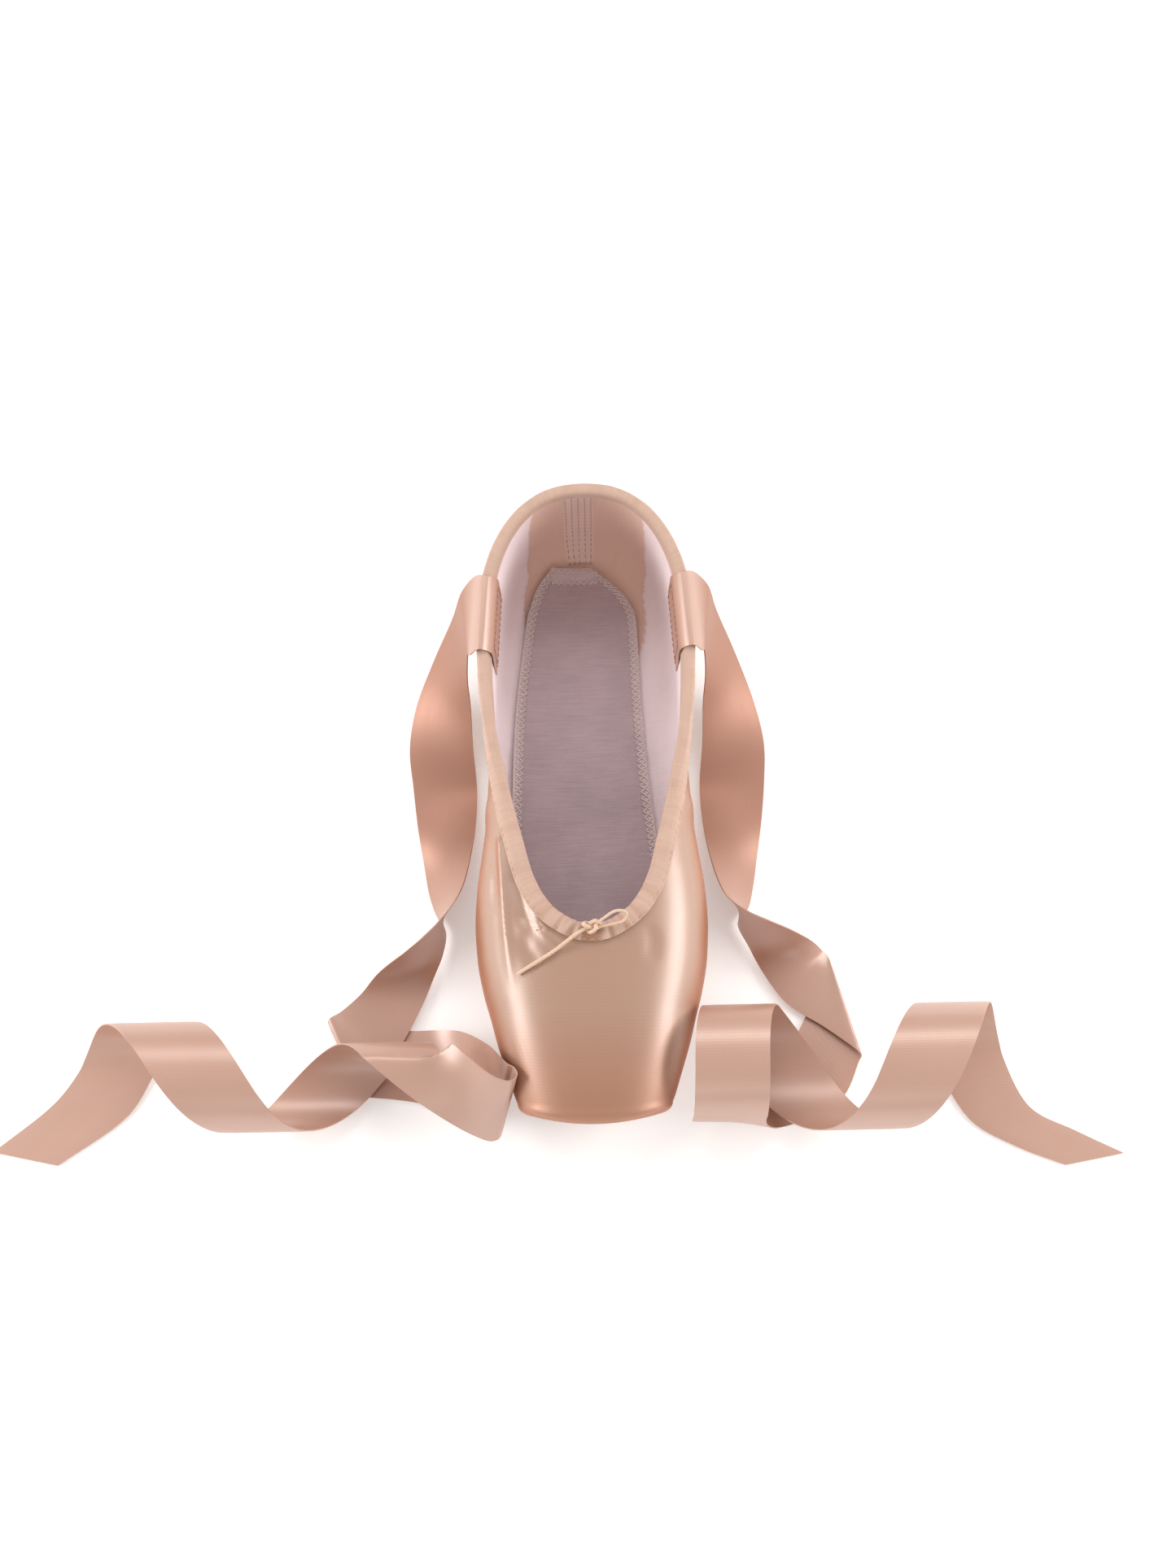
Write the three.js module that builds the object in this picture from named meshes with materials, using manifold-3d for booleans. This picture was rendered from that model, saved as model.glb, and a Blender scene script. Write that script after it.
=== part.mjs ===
// A satin ballet shoe with a blocked toe and two ribbons, standing empty on its sole.
// Millimetres, +Z up, the floor at z = 0, toe towards -Y, heel towards +Y.
// The last is straight: it fits either foot.
import * as THREE from "three";
import { mergeVertices } from "three/addons/utils/BufferGeometryUtils.js";
import Module from "manifold-3d";

const wasm = await Module();
wasm.setup();

const LENGTH = 228;
const TOE_Y = -LENGTH / 2;
const HEEL_CENTRE_Y = 54;
const GAP = 0.3;
const SOLE_THICKNESS = 3;
const INSOLE_THICKNESS = 2;
const BOX_WALL = 2.4;
const QUARTER_WALL = 1.4;
const TOE_ROUND = 4.2;
const TOE_MIDDLE_Z = 21.5;
const TOE_RADIUS = 18;
const TOE_BOW = 2.6;
const TOE_BOW_HALF = 24;
const TOE_UNDERCUT = Math.tan(THREE.MathUtils.degToRad(7.5));
const UNDERCUT_FROM_Y = -62;
const UNDERCUT_Z = 35.05;
const ARCH = { from: -12, to: 56, rise: 3 };
const SPRING = { from: -66, over: 46, rise: 6.5 };
const WALL_CHANGE = { from: -62, over: 32 };
const QUARTER_CHANGE = { from: -36, over: 34 };
const LOW_POWER = 2.7;
const HIGH_POWER = 2.4;
const LEAST_TURN = THREE.MathUtils.degToRad(25);
const THROAT_Y = -52;
const OPENING_FRONT_Y = -92;

// Side of the last: y, widest half width, its height, crown of the vamp.
const SIDES = [
  { y: -114, wide: 23.6, wideZ: 20, crown: 34.5 },
  { y: -109, wide: 26.4, wideZ: 20, crown: 36 },
  { y: -101, wide: 29.1, wideZ: 20, crown: 38.5 },
  { y: -90, wide: 32.3, wideZ: 20, crown: 41.5 },
  { y: -78, wide: 35.0, wideZ: 20, crown: 44.2 },
  { y: -67, wide: 37.6, wideZ: 20.5, crown: 46.5 },
  { y: -56, wide: 39.5, wideZ: 21, crown: 48.2 },
  { y: -44, wide: 40.2, wideZ: 22, crown: 49.5 },
  { y: -32, wide: 39.6, wideZ: 23, crown: 50.2 },
  { y: -20, wide: 38.0, wideZ: 24, crown: 50.8 },
  { y: -8, wide: 36.4, wideZ: 25, crown: 51.5 },
  { y: 8, wide: 35.4, wideZ: 26.5, crown: 52 },
  { y: 24, wide: 34.8, wideZ: 28, crown: 52 },
  { y: 54, wide: 34.6, wideZ: 28, crown: 52 },
];

// Collar edge: distance behind the throat, half width, height (the height counts from the quarters on).
const COLLAR = [
  { back: 0, half: 0, z: 48.6 },
  { back: 3, half: 8.8, z: 48.4 },
  { back: 6.5, half: 13.4, z: 48 },
  { back: 12.5, half: 17.8, z: 47.4 },
  { back: 19, half: 20.8, z: 46.8 },
  { back: 32, half: 24.4, z: 46 },
  { back: 51, half: 29.6, z: 45.4 },
  { back: 72, half: 34.4, z: 46.2 },
  { back: 90, half: 36.7, z: 48.4 },
  { back: 106, half: 37.3, z: 51 },
];

// Opening under the upper: distance behind its front end, half width.
const UNDER = [
  { back: 0, half: 0 },
  { back: 6, half: 10 },
  { back: 16, half: 16 },
  { back: 34, half: 19 },
  { back: 60, half: 18 },
  { back: 92, half: 12.5 },
  { back: 116, half: 11 },
  { back: 146, half: 13.5 },
];

// Back of the heel, on the centre line.
const HEEL = { underY: 92, wideY: 114, wideZ: 25, rimY: 109.2, rimZ: 57.6 };
const HEEL_POWER = { under: 3, wide: 2.4, rim: 2.3 };
const HEEL_RISE_POWER = 1.5;
const HEEL_END = HEEL_CENTRE_Y + 89.99;

// Half outlines of the flat pieces; both ends are half ellipses.
const OUTSOLE = {
  front: -95,
  back: 101,
  rows: [
    { y: -78, half: 21.5 },
    { y: -60, half: 24 },
    { y: -45, half: 24.4 },
    { y: -25, half: 22.4 },
    { y: 0, half: 17.6 },
    { y: 20, half: 15.8 },
    { y: 42, half: 17 },
    { y: 62, half: 19 },
    { y: 80, half: 19.4 },
  ],
};
const INSOLE = {
  front: -88,
  back: 103,
  rows: [
    { y: -66, half: 25 },
    { y: -45, half: 28 },
    { y: -20, half: 27 },
    { y: 3, half: 24.8 },
    { y: 20, half: 23 },
    { y: 42, half: 21.6 },
    { y: 62, half: 21 },
    { y: 84, half: 19.6 },
  ],
};

const BINDING = { outside: 4.8, inside: 5, clear: 0.42, thickness: 0.9, rise: 0.35, puff: 0.1, over: 0.15 };
const CORD_RADIUS = 0.65;

const RIBBON = { thickness: 0.6, clear: 0.55, heelSide: 75, toeSide: 48, swell: 1.5, hang: 2 };
// Rows up the lining: distance below the collar edge, what the ribbon lies on, its stand-off there.
const SEWN = [
  { down: 19, onTape: false, stand: 0.2 },
  { down: 11, onTape: false, stand: 0.5 },
  { down: 4, onTape: true, stand: 0.2 },
  { down: 0.5, onTape: true, stand: 0.3 },
];
// Free fall of a ribbon from the collar to its half twist. Edge a is the heel side, edge b the toe side;
// o counts outwards from the middle of the shoe.
const LEFT_FALL = [
  { ao: 44, ay: 75.5, az: 44, bo: 41.8, by: 50, bz: 44.5 },
  { ao: 48.5, ay: 71, az: 31, bo: 42.5, by: 49, bz: 38.5 },
  { ao: 57, ay: 60, az: 16, bo: 43.1, by: 46.5, bz: 29 },
  { ao: 64, ay: 46, az: 6.5, bo: 42.8, by: 41.5, bz: 17.5 },
  { ao: 66.5, ay: 31.5, az: 2.2, bo: 42.6, by: 30, bz: 7.5 },
  { ao: 65, ay: 16, az: 1, bo: 41.4, by: 15, bz: 2.6 },
  { ao: 63, ay: 0, az: 1, bo: 41.6, by: -1, bz: 6.5 },
  { ao: 60.5, ay: -14, az: 0.9, bo: 43, by: -16, bz: 14 },
  { ao: 58.5, ay: -25, az: 0.8, bo: 45, by: -28, bz: 20.5 },
  { ao: 56, ay: -32.5, az: 0.8, bo: 48, by: -35.5, bz: 24 },
];
const RIGHT_FALL = [
  { ao: 44, ay: 76, az: 44.5, bo: 41.8, by: 50, bz: 44.5 },
  { ao: 47.8, ay: 72, az: 32, bo: 42.5, by: 49, bz: 38.5 },
  { ao: 55.4, ay: 61, az: 17, bo: 43, by: 46.5, bz: 29 },
  { ao: 62.2, ay: 46, az: 7, bo: 42.6, by: 41.5, bz: 17.5 },
  { ao: 65.6, ay: 31.5, az: 2.2, bo: 42.4, by: 30, bz: 7.5 },
  { ao: 65, ay: 16, az: 1, bo: 41, by: 15, bz: 2.6 },
  { ao: 63, ay: 0, az: 1, bo: 41.2, by: -1, bz: 6.5 },
  { ao: 60.5, ay: -14, az: 0.9, bo: 42.6, by: -16, bz: 14 },
  { ao: 58.5, ay: -25, az: 0.8, bo: 44.8, by: -28, bz: 20.5 },
  { ao: 56.4, ay: -32.5, az: 0.8, bo: 47.4, by: -35, bz: 24 },
];
// From the twist over the flat fold to the first curl.
const LEFT_LAY = [
  { ao: 52.6, ay: -39, az: 1, bo: 54.5, by: -43.5, bz: 24 },
  { ao: 53.4, ay: -47, az: 1.2, bo: 65, by: -50.5, bz: 18 },
  { ao: 56.6, ay: -56, az: 1.5, bo: 75.4, by: -56.2, bz: 10 },
  { ao: 60.4, ay: -66, az: 1.9, bo: 82.4, by: -62.4, bz: 3.8 },
  { ao: 70, ay: -84, az: 2, bo: 89.4, by: -68, bz: 2.1 },
  { ao: 80.5, ay: -96, az: 2.15, bo: 92.8, by: -70, bz: 2.15 },
  { ao: 81.3, ay: -97.2, az: 1.45, bo: 93.6, by: -71.2, bz: 1.45 },
  { ao: 79.5, ay: -97.8, az: 0.75, bo: 91.8, by: -72, bz: 0.75 },
  { ao: 70.5, ay: -98.8, az: 0.75, bo: 77.6, by: -73.4, bz: 0.75 },
  { ao: 61, ay: -100.4, az: 0.9, bo: 64, by: -75, bz: 1.2 },
  { ao: 52.4, ay: -103.2, az: 1.2, bo: 55, by: -75.4, bz: 3.4 },
  { ao: 44.4, ay: -106, az: 1.8, bo: 46.6, by: -77.2, bz: 9 },
  { ao: 38.8, ay: -107.6, az: 3, bo: 36.8, by: -84, bz: 20 },
  { ao: 36.2, ay: -108.4, az: 4.8, bo: 31.5, by: -90.6, bz: 29.8 },
  { ao: 35.4, ay: -109, az: 6.2, bo: 28.7, by: -94, bz: 34.2 },
  { ao: 33.4, ay: -110.2, az: 6.4, bo: 26.6, by: -95.3, bz: 34.8 },
  { ao: 32.4, ay: -112.4, az: 7.2, bo: 25.6, by: -97.5, bz: 35.4 },
  { ao: 33.4, ay: -114.4, az: 8.6, bo: 26.6, by: -99.6, bz: 36.6 },
  { ao: 35.8, ay: -115.2, az: 9.8, bo: 29, by: -100.2, bz: 37.6 },
  { ao: 40.6, ay: -114, az: 13, bo: 34.4, by: -98, bz: 38.4 },
  { ao: 49, ay: -110.2, az: 19.2, bo: 41.8, by: -91.8, bz: 38 },
  { ao: 62, ay: -102.2, az: 26.5, bo: 47.6, by: -87, bz: 34.6 },
];
const RIGHT_LAY = [
  { ao: 52.6, ay: -38, az: 1, bo: 53.5, by: -40, bz: 24 },
  { ao: 56, ay: -46.8, az: 1.2, bo: 67, by: -44.7, bz: 19 },
  { ao: 60.2, ay: -56, az: 1.5, bo: 77.6, by: -47.8, bz: 10 },
  { ao: 68.2, ay: -68, az: 1.9, bo: 82, by: -49.8, bz: 3.6 },
  { ao: 81.2, ay: -77, az: 2, bo: 83.6, by: -50.8, bz: 2.1 },
  { ao: 92.4, ay: -86, az: 2.15, bo: 84.2, by: -52.5, bz: 2.15 },
  { ao: 93.2, ay: -87.2, az: 1.45, bo: 84.6, by: -54, bz: 1.45 },
  { ao: 92.4, ay: -88.6, az: 0.75, bo: 83.2, by: -56, bz: 0.75 },
  { ao: 86, ay: -101, az: 0.75, bo: 67, by: -85, bz: 0.75 },
  { ao: 72, ay: -108.8, az: 0.8, bo: 51, by: -98, bz: 0.8 },
  { ao: 63, ay: -111.6, az: 2.6, bo: 44.4, by: -102.6, bz: 2.2 },
  { ao: 58.8, ay: -112.2, az: 9.4, bo: 37.2, by: -107.8, bz: 8 },
];
// Curls round an axis along x: turn in degrees from the toe side over the top, then the ruling's middle,
// the axis's y, the radius, the lift off the floor and half a ruling.
const LEFT_CURL = [
  { turn: 120, o: 63.5, y: -98, r: 15, lift: 3, half: 13 },
  { turn: 180, o: 73, y: -98, r: 15, lift: 3, half: 15 },
  { turn: 270, o: 93, y: -97, r: 15.5, lift: 2.8, half: 16 },
  { turn: 360, o: 113.2, y: -95, r: 16.5, lift: 1.6, half: 14 },
  { turn: 450, o: 132.4, y: -93, r: 17.5, lift: 0.9, half: 15.2 },
  { turn: 540, o: 153, y: -92, r: 17.5, lift: 0.8, half: 15.5 },
  { turn: 615, o: 166.6, y: -91.6, r: 17.5, lift: 0.8, half: 13.5 },
];
const RIGHT_CURL = [
  { turn: 0, o: 44.6, y: -92.8, r: 18.8, lift: 1.2, half: 12.3 },
  { turn: 90, o: 45.2, y: -92.8, r: 19.2, lift: 2, half: 12.2 },
  { turn: 180, o: 50.6, y: -93.4, r: 19.8, lift: 2.6, half: 12.5 },
  { turn: 270, o: 66.4, y: -94, r: 20, lift: 2.8, half: 15 },
  { turn: 360, o: 90.6, y: -95, r: 20.5, lift: 1.6, half: 13.8 },
  { turn: 405, o: 101.2, y: -94.2, r: 20.5, lift: 1.2, half: 13.4 },
  { turn: 450, o: 109.8, y: -93, r: 20.4, lift: 0.9, half: 13.8 },
  { turn: 540, o: 123.6, y: -94, r: 20, lift: 0.8, half: 12.3 },
  { turn: 615, o: 130.5, y: -94, r: 20, lift: 0.8, half: 12 },
];
const LEFT_END = [
  { ao: 187.6, ay: -97.6, az: 0.75, bo: 161.6, by: -102.2, bz: 0.75 },
  { ao: 207.5, ay: -114.2, az: 0.75, bo: 184.8, by: -119.2, bz: 0.75 },
];
const RIGHT_END = [
  { ao: 150, ay: -106, az: 0.75, bo: 129, by: -110, bz: 0.75 },
  { ao: 165, ay: -114.5, az: 0.75, bo: 144, by: -119.4, bz: 0.75 },
  { ao: 180.5, ay: -122.4, az: 0.75, bo: 160, by: -126, bz: 0.75 },
];
const CURL_STEP = 15;

// Route of the drawstring's free end, over the vamp: x, y, height of its middle above the vamp's surface.
const TAIL = [
  { x: -4.6, y: -54.6, up: 3.4 },
  { x: -8, y: -56.8, up: 2.7 },
  { x: -12, y: -59.4, up: 1.8 },
  { x: -16, y: -61.6, up: 1.4 },
  { x: -20, y: -63.6, up: 1.3 },
  { x: -24.8, y: -66, up: 1.2 },
];
// Loop of the knot: x, y, z of its middle line.
const LOOP = [
  { x: 1, y: -52.4, z: 52.6 },
  { x: 4, y: -50.6, z: 54.6 },
  { x: 8, y: -48.4, z: 55.2 },
  { x: 11.4, y: -48.6, z: 53.8 },
  { x: 10.6, y: -50.8, z: 52.4 },
  { x: 6, y: -52.2, z: 52.4 },
  { x: 1, y: -53, z: 52 },
];
const KNOT = { x: 0, y: -52.6, z: 52.4, half: [3.6, 2.6, 1.9] };

const clamp01 = (t) => Math.min(1, Math.max(0, t));
const smooth = (t) => clamp01(t) ** 2 * (3 - 2 * clamp01(t));

// Monotone cubic through the rows of a table: its column at a value of the key.
function reader(rows, key, columns, warp = (v) => v) {
  const xs = rows.map((r) => warp(r[key]));
  const read = {};
  for (const column of columns) {
    const ys = rows.map((r) => r[column]);
    const steps = xs.slice(1).map((x, i) => x - xs[i]);
    const slopes = steps.map((h, i) => (ys[i + 1] - ys[i]) / h);
    const ends = [slopes[0], slopes[slopes.length - 1]];
    const tangents = xs.map((_, i) => {
      if (i === 0) return ends[0];
      if (i === xs.length - 1) return ends[1];
      const [p, q] = [slopes[i - 1], slopes[i]];
      if (p * q <= 0) return 0;
      const w1 = 2 * steps[i] + steps[i - 1];
      const w2 = steps[i] + 2 * steps[i - 1];
      return (w1 + w2) / (w1 / p + w2 / q);
    });
    read[column] = (v) => {
      const x = Math.min(xs[xs.length - 1], Math.max(xs[0], warp(v)));
      let i = 0;
      while (i < xs.length - 2 && x > xs[i + 1]) i += 1;
      const h = steps[i];
      const t = (x - xs[i]) / h;
      const hermite = [
        (1 + 2 * t) * (1 - t) ** 2,
        t * (1 - t) ** 2,
        t * t * (3 - 2 * t),
        t * t * (t - 1),
      ];
      const places = hermite[0] * ys[i] + hermite[2] * ys[i + 1];
      return places + (hermite[1] * tangents[i] + hermite[3] * tangents[i + 1]) * h;
    };
  }
  return read;
}

const root = (v) => Math.sqrt(Math.max(0, v));
const side = reader(SIDES, "y", ["wide", "wideZ", "crown"]);
const collar = reader(COLLAR, "back", ["half", "z"], root);
const under = reader(UNDER, "back", ["half"], root);

// Height of the tread line: flat forefoot and heel, raised arch, sprung toe.
function tread(y) {
  const alongArch = (y - ARCH.from) / (ARCH.to - ARCH.from);
  const arch = alongArch > 0 && alongArch < 1 ? ARCH.rise * Math.sin(Math.PI * alongArch) ** 2 : 0;
  const spring = y < SPRING.from ? SPRING.rise * ((SPRING.from - y) / SPRING.over) ** 2 : 0;
  return arch + spring;
}

function wall(u) {
  return BOX_WALL + (QUARTER_WALL - BOX_WALL) * smooth((u - WALL_CHANGE.from) / WALL_CHANGE.over);
}

const superCos = (a, n) => Math.max(0, Math.cos(a)) ** (2 / n);
const superSin = (a, n) => Math.max(0, Math.sin(a)) ** (2 / n);

// Girth frame at u: up to the heel's centre u is y; past it, u counts degrees round the heel.
function frameAt(u) {
  const y = Math.min(u, HEEL_CENTRE_Y);
  const wide = side.wide(y);
  const wideZ = side.wideZ(y);
  const half = y > THROAT_Y ? collar.half(y - THROAT_Y) : 0;
  const turn = Math.acos(Math.min(1, half / wide) ** (HIGH_POWER / 2));
  const archZ = wideZ + (side.crown(y) - wideZ) * superSin(turn, HIGH_POWER);
  const quarter = smooth((y - QUARTER_CHANGE.from) / QUARTER_CHANGE.over);
  const rimZ = archZ + (collar.z(y - THROAT_Y) - archZ) * quarter;
  const opening = y > OPENING_FRONT_Y ? under.half(y - OPENING_FRONT_Y) : 0;
  const f = {
    low: new THREE.Vector3(opening, y, tread(y) + SOLE_THICKNESS + GAP),
    wide: new THREE.Vector3(wide, y, wideZ),
    rim: new THREE.Vector3(half, y, rimZ),
    turn: Math.max(turn, LEAST_TURN),
  };
  if (u > HEEL_CENTRE_Y) {
    const a = THREE.MathUtils.degToRad(u - HEEL_CENTRE_Y);
    const round = (v, backY, power) => {
      v.x *= u > HEEL_END ? 0 : superCos(a, power);
      v.y += (backY - HEEL_CENTRE_Y) * superSin(a, power);
    };
    round(f.low, HEEL.underY, HEEL_POWER.under);
    round(f.wide, HEEL.wideY, HEEL_POWER.wide);
    round(f.rim, HEEL.rimY, HEEL_POWER.rim);
    f.wide.z += (HEEL.wideZ - f.wide.z) * Math.sin(a) ** 2;
    f.rim.z += (HEEL.rimZ - f.rim.z) * Math.sin(a) ** HEEL_RISE_POWER;
  }
  return f;
}

// Toe end: the sections lean out towards the crown and the end face is bowed in plan.
function shapeToe(p) {
  const k = smooth((UNDERCUT_FROM_Y - p.y) / (UNDERCUT_FROM_Y - TOE_Y));
  const bow = TOE_BOW * k * (p.x / TOE_BOW_HALF) ** 2;
  p.y += bow - (p.z - UNDERCUT_Z) * TOE_UNDERCUT * k;
  return p;
}

// Outer skin above the widest line; a is the angle up the arc, f.turn at the collar edge.
function skinHigh(u, a) {
  const f = frameAt(u);
  const k = (1 - superCos(a, HIGH_POWER)) / (1 - superCos(f.turn, HIGH_POWER));
  const h = superSin(a, HIGH_POWER) / superSin(f.turn, HIGH_POWER);
  const p = f.wide.clone().lerp(f.rim, k);
  p.z = f.wide.z + (f.rim.z - f.wide.z) * h;
  if (f.rim.x === 0 && a >= f.turn) p.x = 0;
  return shapeToe(p);
}

// Outer skin below the widest line; a runs from a right angle at the opening to 0 at the widest line.
function skinLow(u, a) {
  const f = frameAt(u);
  const p = f.low.clone().lerp(f.wide, superCos(a, LOW_POWER));
  p.z = f.wide.z - (f.wide.z - f.low.z) * superSin(a, LOW_POWER);
  return shapeToe(p);
}

// Outer skin by v: -1 at the lower opening, 0 at the widest line, 1 at the collar edge or the crown.
function skin(u, v) {
  return v < 0 ? skinLow(u, (-v * Math.PI) / 2) : skinHigh(u, v * frameAt(u).turn);
}

const NUDGE = { u: 0.3, v: 0.02 };
function skinNormal(u, v) {
  const u1 = Math.min(u + NUDGE.u, HEEL_CENTRE_Y + 90);
  const v1 = Math.min(v + NUDGE.v, 1);
  const along = skin(u1, v).sub(skin(u1 - 2 * NUDGE.u, v));
  const up = skin(u, v1).sub(skin(u, Math.max(-1, v1 - 2 * NUDGE.v)));
  return along.cross(up).normalize();
}

// A mesh from triangles given as corner points.
class Surface {
  constructor() {
    this.points = [];
  }
  tri(a, b, c) {
    this.points.push(a, b, c);
  }
  quad(a, b, c, d) {
    this.tri(a, b, c);
    this.tri(a, c, d);
  }
  mirrored() {
    const flip = (p) => new THREE.Vector3(-p.x, p.y, p.z);
    const half = this.points.slice();
    for (let i = 0; i < half.length; i += 3) this.tri(flip(half[i]), flip(half[i + 2]), flip(half[i + 1]));
    return this;
  }
  mesh(name, colour, roughness) {
    const kept = [];
    for (let i = 0; i < this.points.length; i += 3) {
      const [a, b, c] = this.points.slice(i, i + 3);
      const area = b.clone().sub(a).cross(c.clone().sub(a)).length();
      if (area > 1e-7) kept.push(a, b, c);
    }
    const geometry = new THREE.BufferGeometry().setFromPoints(kept);
    geometry.computeVertexNormals();
    const made = new THREE.Mesh(geometry, new THREE.MeshStandardMaterial({ color: colour, roughness }));
    made.name = name;
    return made;
  }
}

const group = new THREE.Group();
group.name = "ballet_shoe";

// Girths of the upper: along the box and vamp, along the throat and quarters, round the heel.
const VAMP_Y = [-104.5, -99.5, -95.5, -92, -89.5, -86, -81, -76, -70.5, -65, -60, -56];
const THROAT_BACK = [0, 0.5, 1.6, 3.4, 6, 9.5, 13.5, 18.5, 25, 32, 39, 46, 53, 60, 67, 75, 84, 95, 106];
const HEEL_STEPS = 9;
const ROUND_STEPS = [78, 52, 26, 0];
const girths = [...VAMP_Y, ...THROAT_BACK.map((b) => THROAT_Y + b)];
for (let i = 1; i <= HEEL_STEPS; i += 1) girths.push(HEEL_CENTRE_Y + (90 * i) / HEEL_STEPS);
const LEVELS = [-1, -0.9, -0.76, -0.58, -0.4, -0.2, 0, 0.16, 0.32, 0.48, 0.63, 0.77, 0.89, 1];

function upperHalf() {
  const s = new Surface();
  const outer = [];
  const inner = [];
  const open = [];
  const shift = (p, n, d) => p.clone().addScaledVector(n, d);
  const onAxis = (p, flag) => (flag ? p.setX(0) : p);
  const centre = new THREE.Vector3(0, 0, TOE_MIDDLE_Z);
  for (const degrees of ROUND_STEPS) {
    const a = THREE.MathUtils.degToRad(degrees);
    const u = TOE_Y + TOE_ROUND;
    const inset = 1 - (TOE_ROUND * (1 - Math.cos(a))) / TOE_RADIUS;
    const innerInset = 1 - (BOX_WALL + (TOE_ROUND - BOX_WALL) * (1 - Math.cos(a))) / TOE_RADIUS;
    const draw = (scale, depth) =>
      LEVELS.map((v) => {
        const p = skin(u, v);
        const y = p.y;
        p.sub(centre).multiplyScalar(scale).add(centre);
        p.y = y - depth;
        return onAxis(p, Math.abs(v) === 1);
      });
    outer.push(draw(inset, TOE_ROUND * Math.sin(a)));
    inner.push(draw(innerInset, (TOE_ROUND - BOX_WALL) * Math.sin(a)));
    open.push({ low: false, rim: false });
  }
  for (const u of girths) {
    const f = frameAt(u);
    const back = u >= HEEL_END;
    const o = LEVELS.map((v) => {
      const closed = back || (v === -1 && f.low.x < 1e-6) || (v === 1 && f.rim.x < 1e-6);
      return onAxis(skin(u, v), closed);
    });
    inner.push(
      LEVELS.map((v, j) => {
        const closed = back || (v === -1 && f.low.x < 1e-6) || (v === 1 && f.rim.x < 1e-6);
        return onAxis(shift(o[j], skinNormal(u, v), -wall(u)), closed);
      }),
    );
    outer.push(o);
    open.push({ low: u >= OPENING_FRONT_Y, rim: u >= THROAT_Y });
  }
  const top = LEVELS.length - 1;
  for (let i = 0; i + 1 < outer.length; i += 1) {
    const [o, p, q, r] = [outer[i], outer[i + 1], inner[i], inner[i + 1]];
    for (let j = 0; j < top; j += 1) {
      s.quad(o[j], p[j], p[j + 1], o[j + 1]);
      s.quad(q[j], q[j + 1], r[j + 1], r[j]);
    }
    if (open[i].rim) s.quad(o[top], p[top], r[top], q[top]);
    if (open[i].low) s.quad(o[0], q[0], r[0], p[0]);
  }
  const middle = (ring) => ring[0].clone().add(ring[top]).multiplyScalar(0.5).setX(0);
  const [mo, mi] = [middle(outer[0]), middle(inner[0])];
  for (let j = 0; j < top; j += 1) {
    s.tri(mo, outer[0][j], outer[0][j + 1]);
    s.tri(mi, inner[0][j + 1], inner[0][j]);
  }
  return s;
}
group.add(upperHalf().mirrored().mesh("upper", 0xd9a98a, 0.38));

const OUTLINE_STEPS = { end: 7, middle: 22 };
// Half outline of a flat piece as stations from the front end to the back end.
function outline(piece) {
  const { end, middle } = OUTLINE_STEPS;
  const first = piece.rows[0];
  const last = piece.rows[piece.rows.length - 1];
  const half = reader(piece.rows, "y", ["half"]).half;
  const stations = [];
  for (let i = 0; i <= end; i += 1) {
    const a = (Math.PI / 2) * (i / end);
    const y = first.y + (piece.front - first.y) * Math.cos(a);
    stations.push({ y, half: i ? first.half * Math.sin(a) : 0 });
  }
  for (let i = 1; i < middle; i += 1) {
    const y = first.y + ((last.y - first.y) * i) / middle;
    stations.push({ y, half: half(y) });
  }
  for (let i = end; i >= 0; i -= 1) {
    const a = (Math.PI / 2) * (i / end);
    const y = last.y + (piece.back - last.y) * Math.cos(a);
    stations.push({ y, half: i ? last.half * Math.sin(a) : 0 });
  }
  return stations;
}

// Closes a run of half profiles (lists of points from the bottom centre to the top centre) into a solid.
function loft(profiles) {
  const s = new Surface();
  for (let i = 0; i + 1 < profiles.length; i += 1) {
    const [p, q] = [profiles[i], profiles[i + 1]];
    for (let j = 0; j + 1 < p.length; j += 1) s.quad(p[j], q[j], q[j + 1], p[j + 1]);
  }
  return s.mirrored();
}

const V = (x, y, z) => new THREE.Vector3(x, y, z);

// Section of the outsole from the middle of its tread round the edge: share of the half width, height.
const SOLE_SECTION = [
  { share: 0, up: 0 },
  { share: 0.92, up: 0 },
  { share: 0.98, up: 0.7 },
  { share: 1, up: 1.6 },
  { share: 0.985, up: 2.6 },
  { share: 0.96, up: SOLE_THICKNESS },
  { share: 0, up: SOLE_THICKNESS },
];
const soleProfiles = outline(OUTSOLE).map(({ y, half }) =>
  SOLE_SECTION.map(({ share, up }) => V(half * share, y, tread(y) + up)),
);
group.add(loft(soleProfiles).mesh("outsole", 0xc8a888, 0.7));

// The insole lies on the turned-in edge of the upper and drops into the opening under it.
const BED = { wallShare: 1.06, heelHalf: 21, clear: 0.5, middleShare: 1.02 };
const DROP = { fromFront: 14, toHeel: 12, clear: 1.2, taper: 30, share: 0.7 };
const RIM = { turnUp: 0.82, top: 0.8, lip: 0.2, round: 0.5, roundShare: 0.975 };
// Height of the upper's inner face over the insole's edge, from the skin's own lower arc.
function bedHeight(u, x) {
  const f = frameAt(u);
  const k = clamp01((x - f.low.x) / (f.wide.x - f.low.x));
  const z = f.wide.z - (f.wide.z - f.low.z) * (1 - k ** LOW_POWER) ** (1 / LOW_POWER);
  return z + wall(u) * BED.wallShare + GAP;
}

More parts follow.
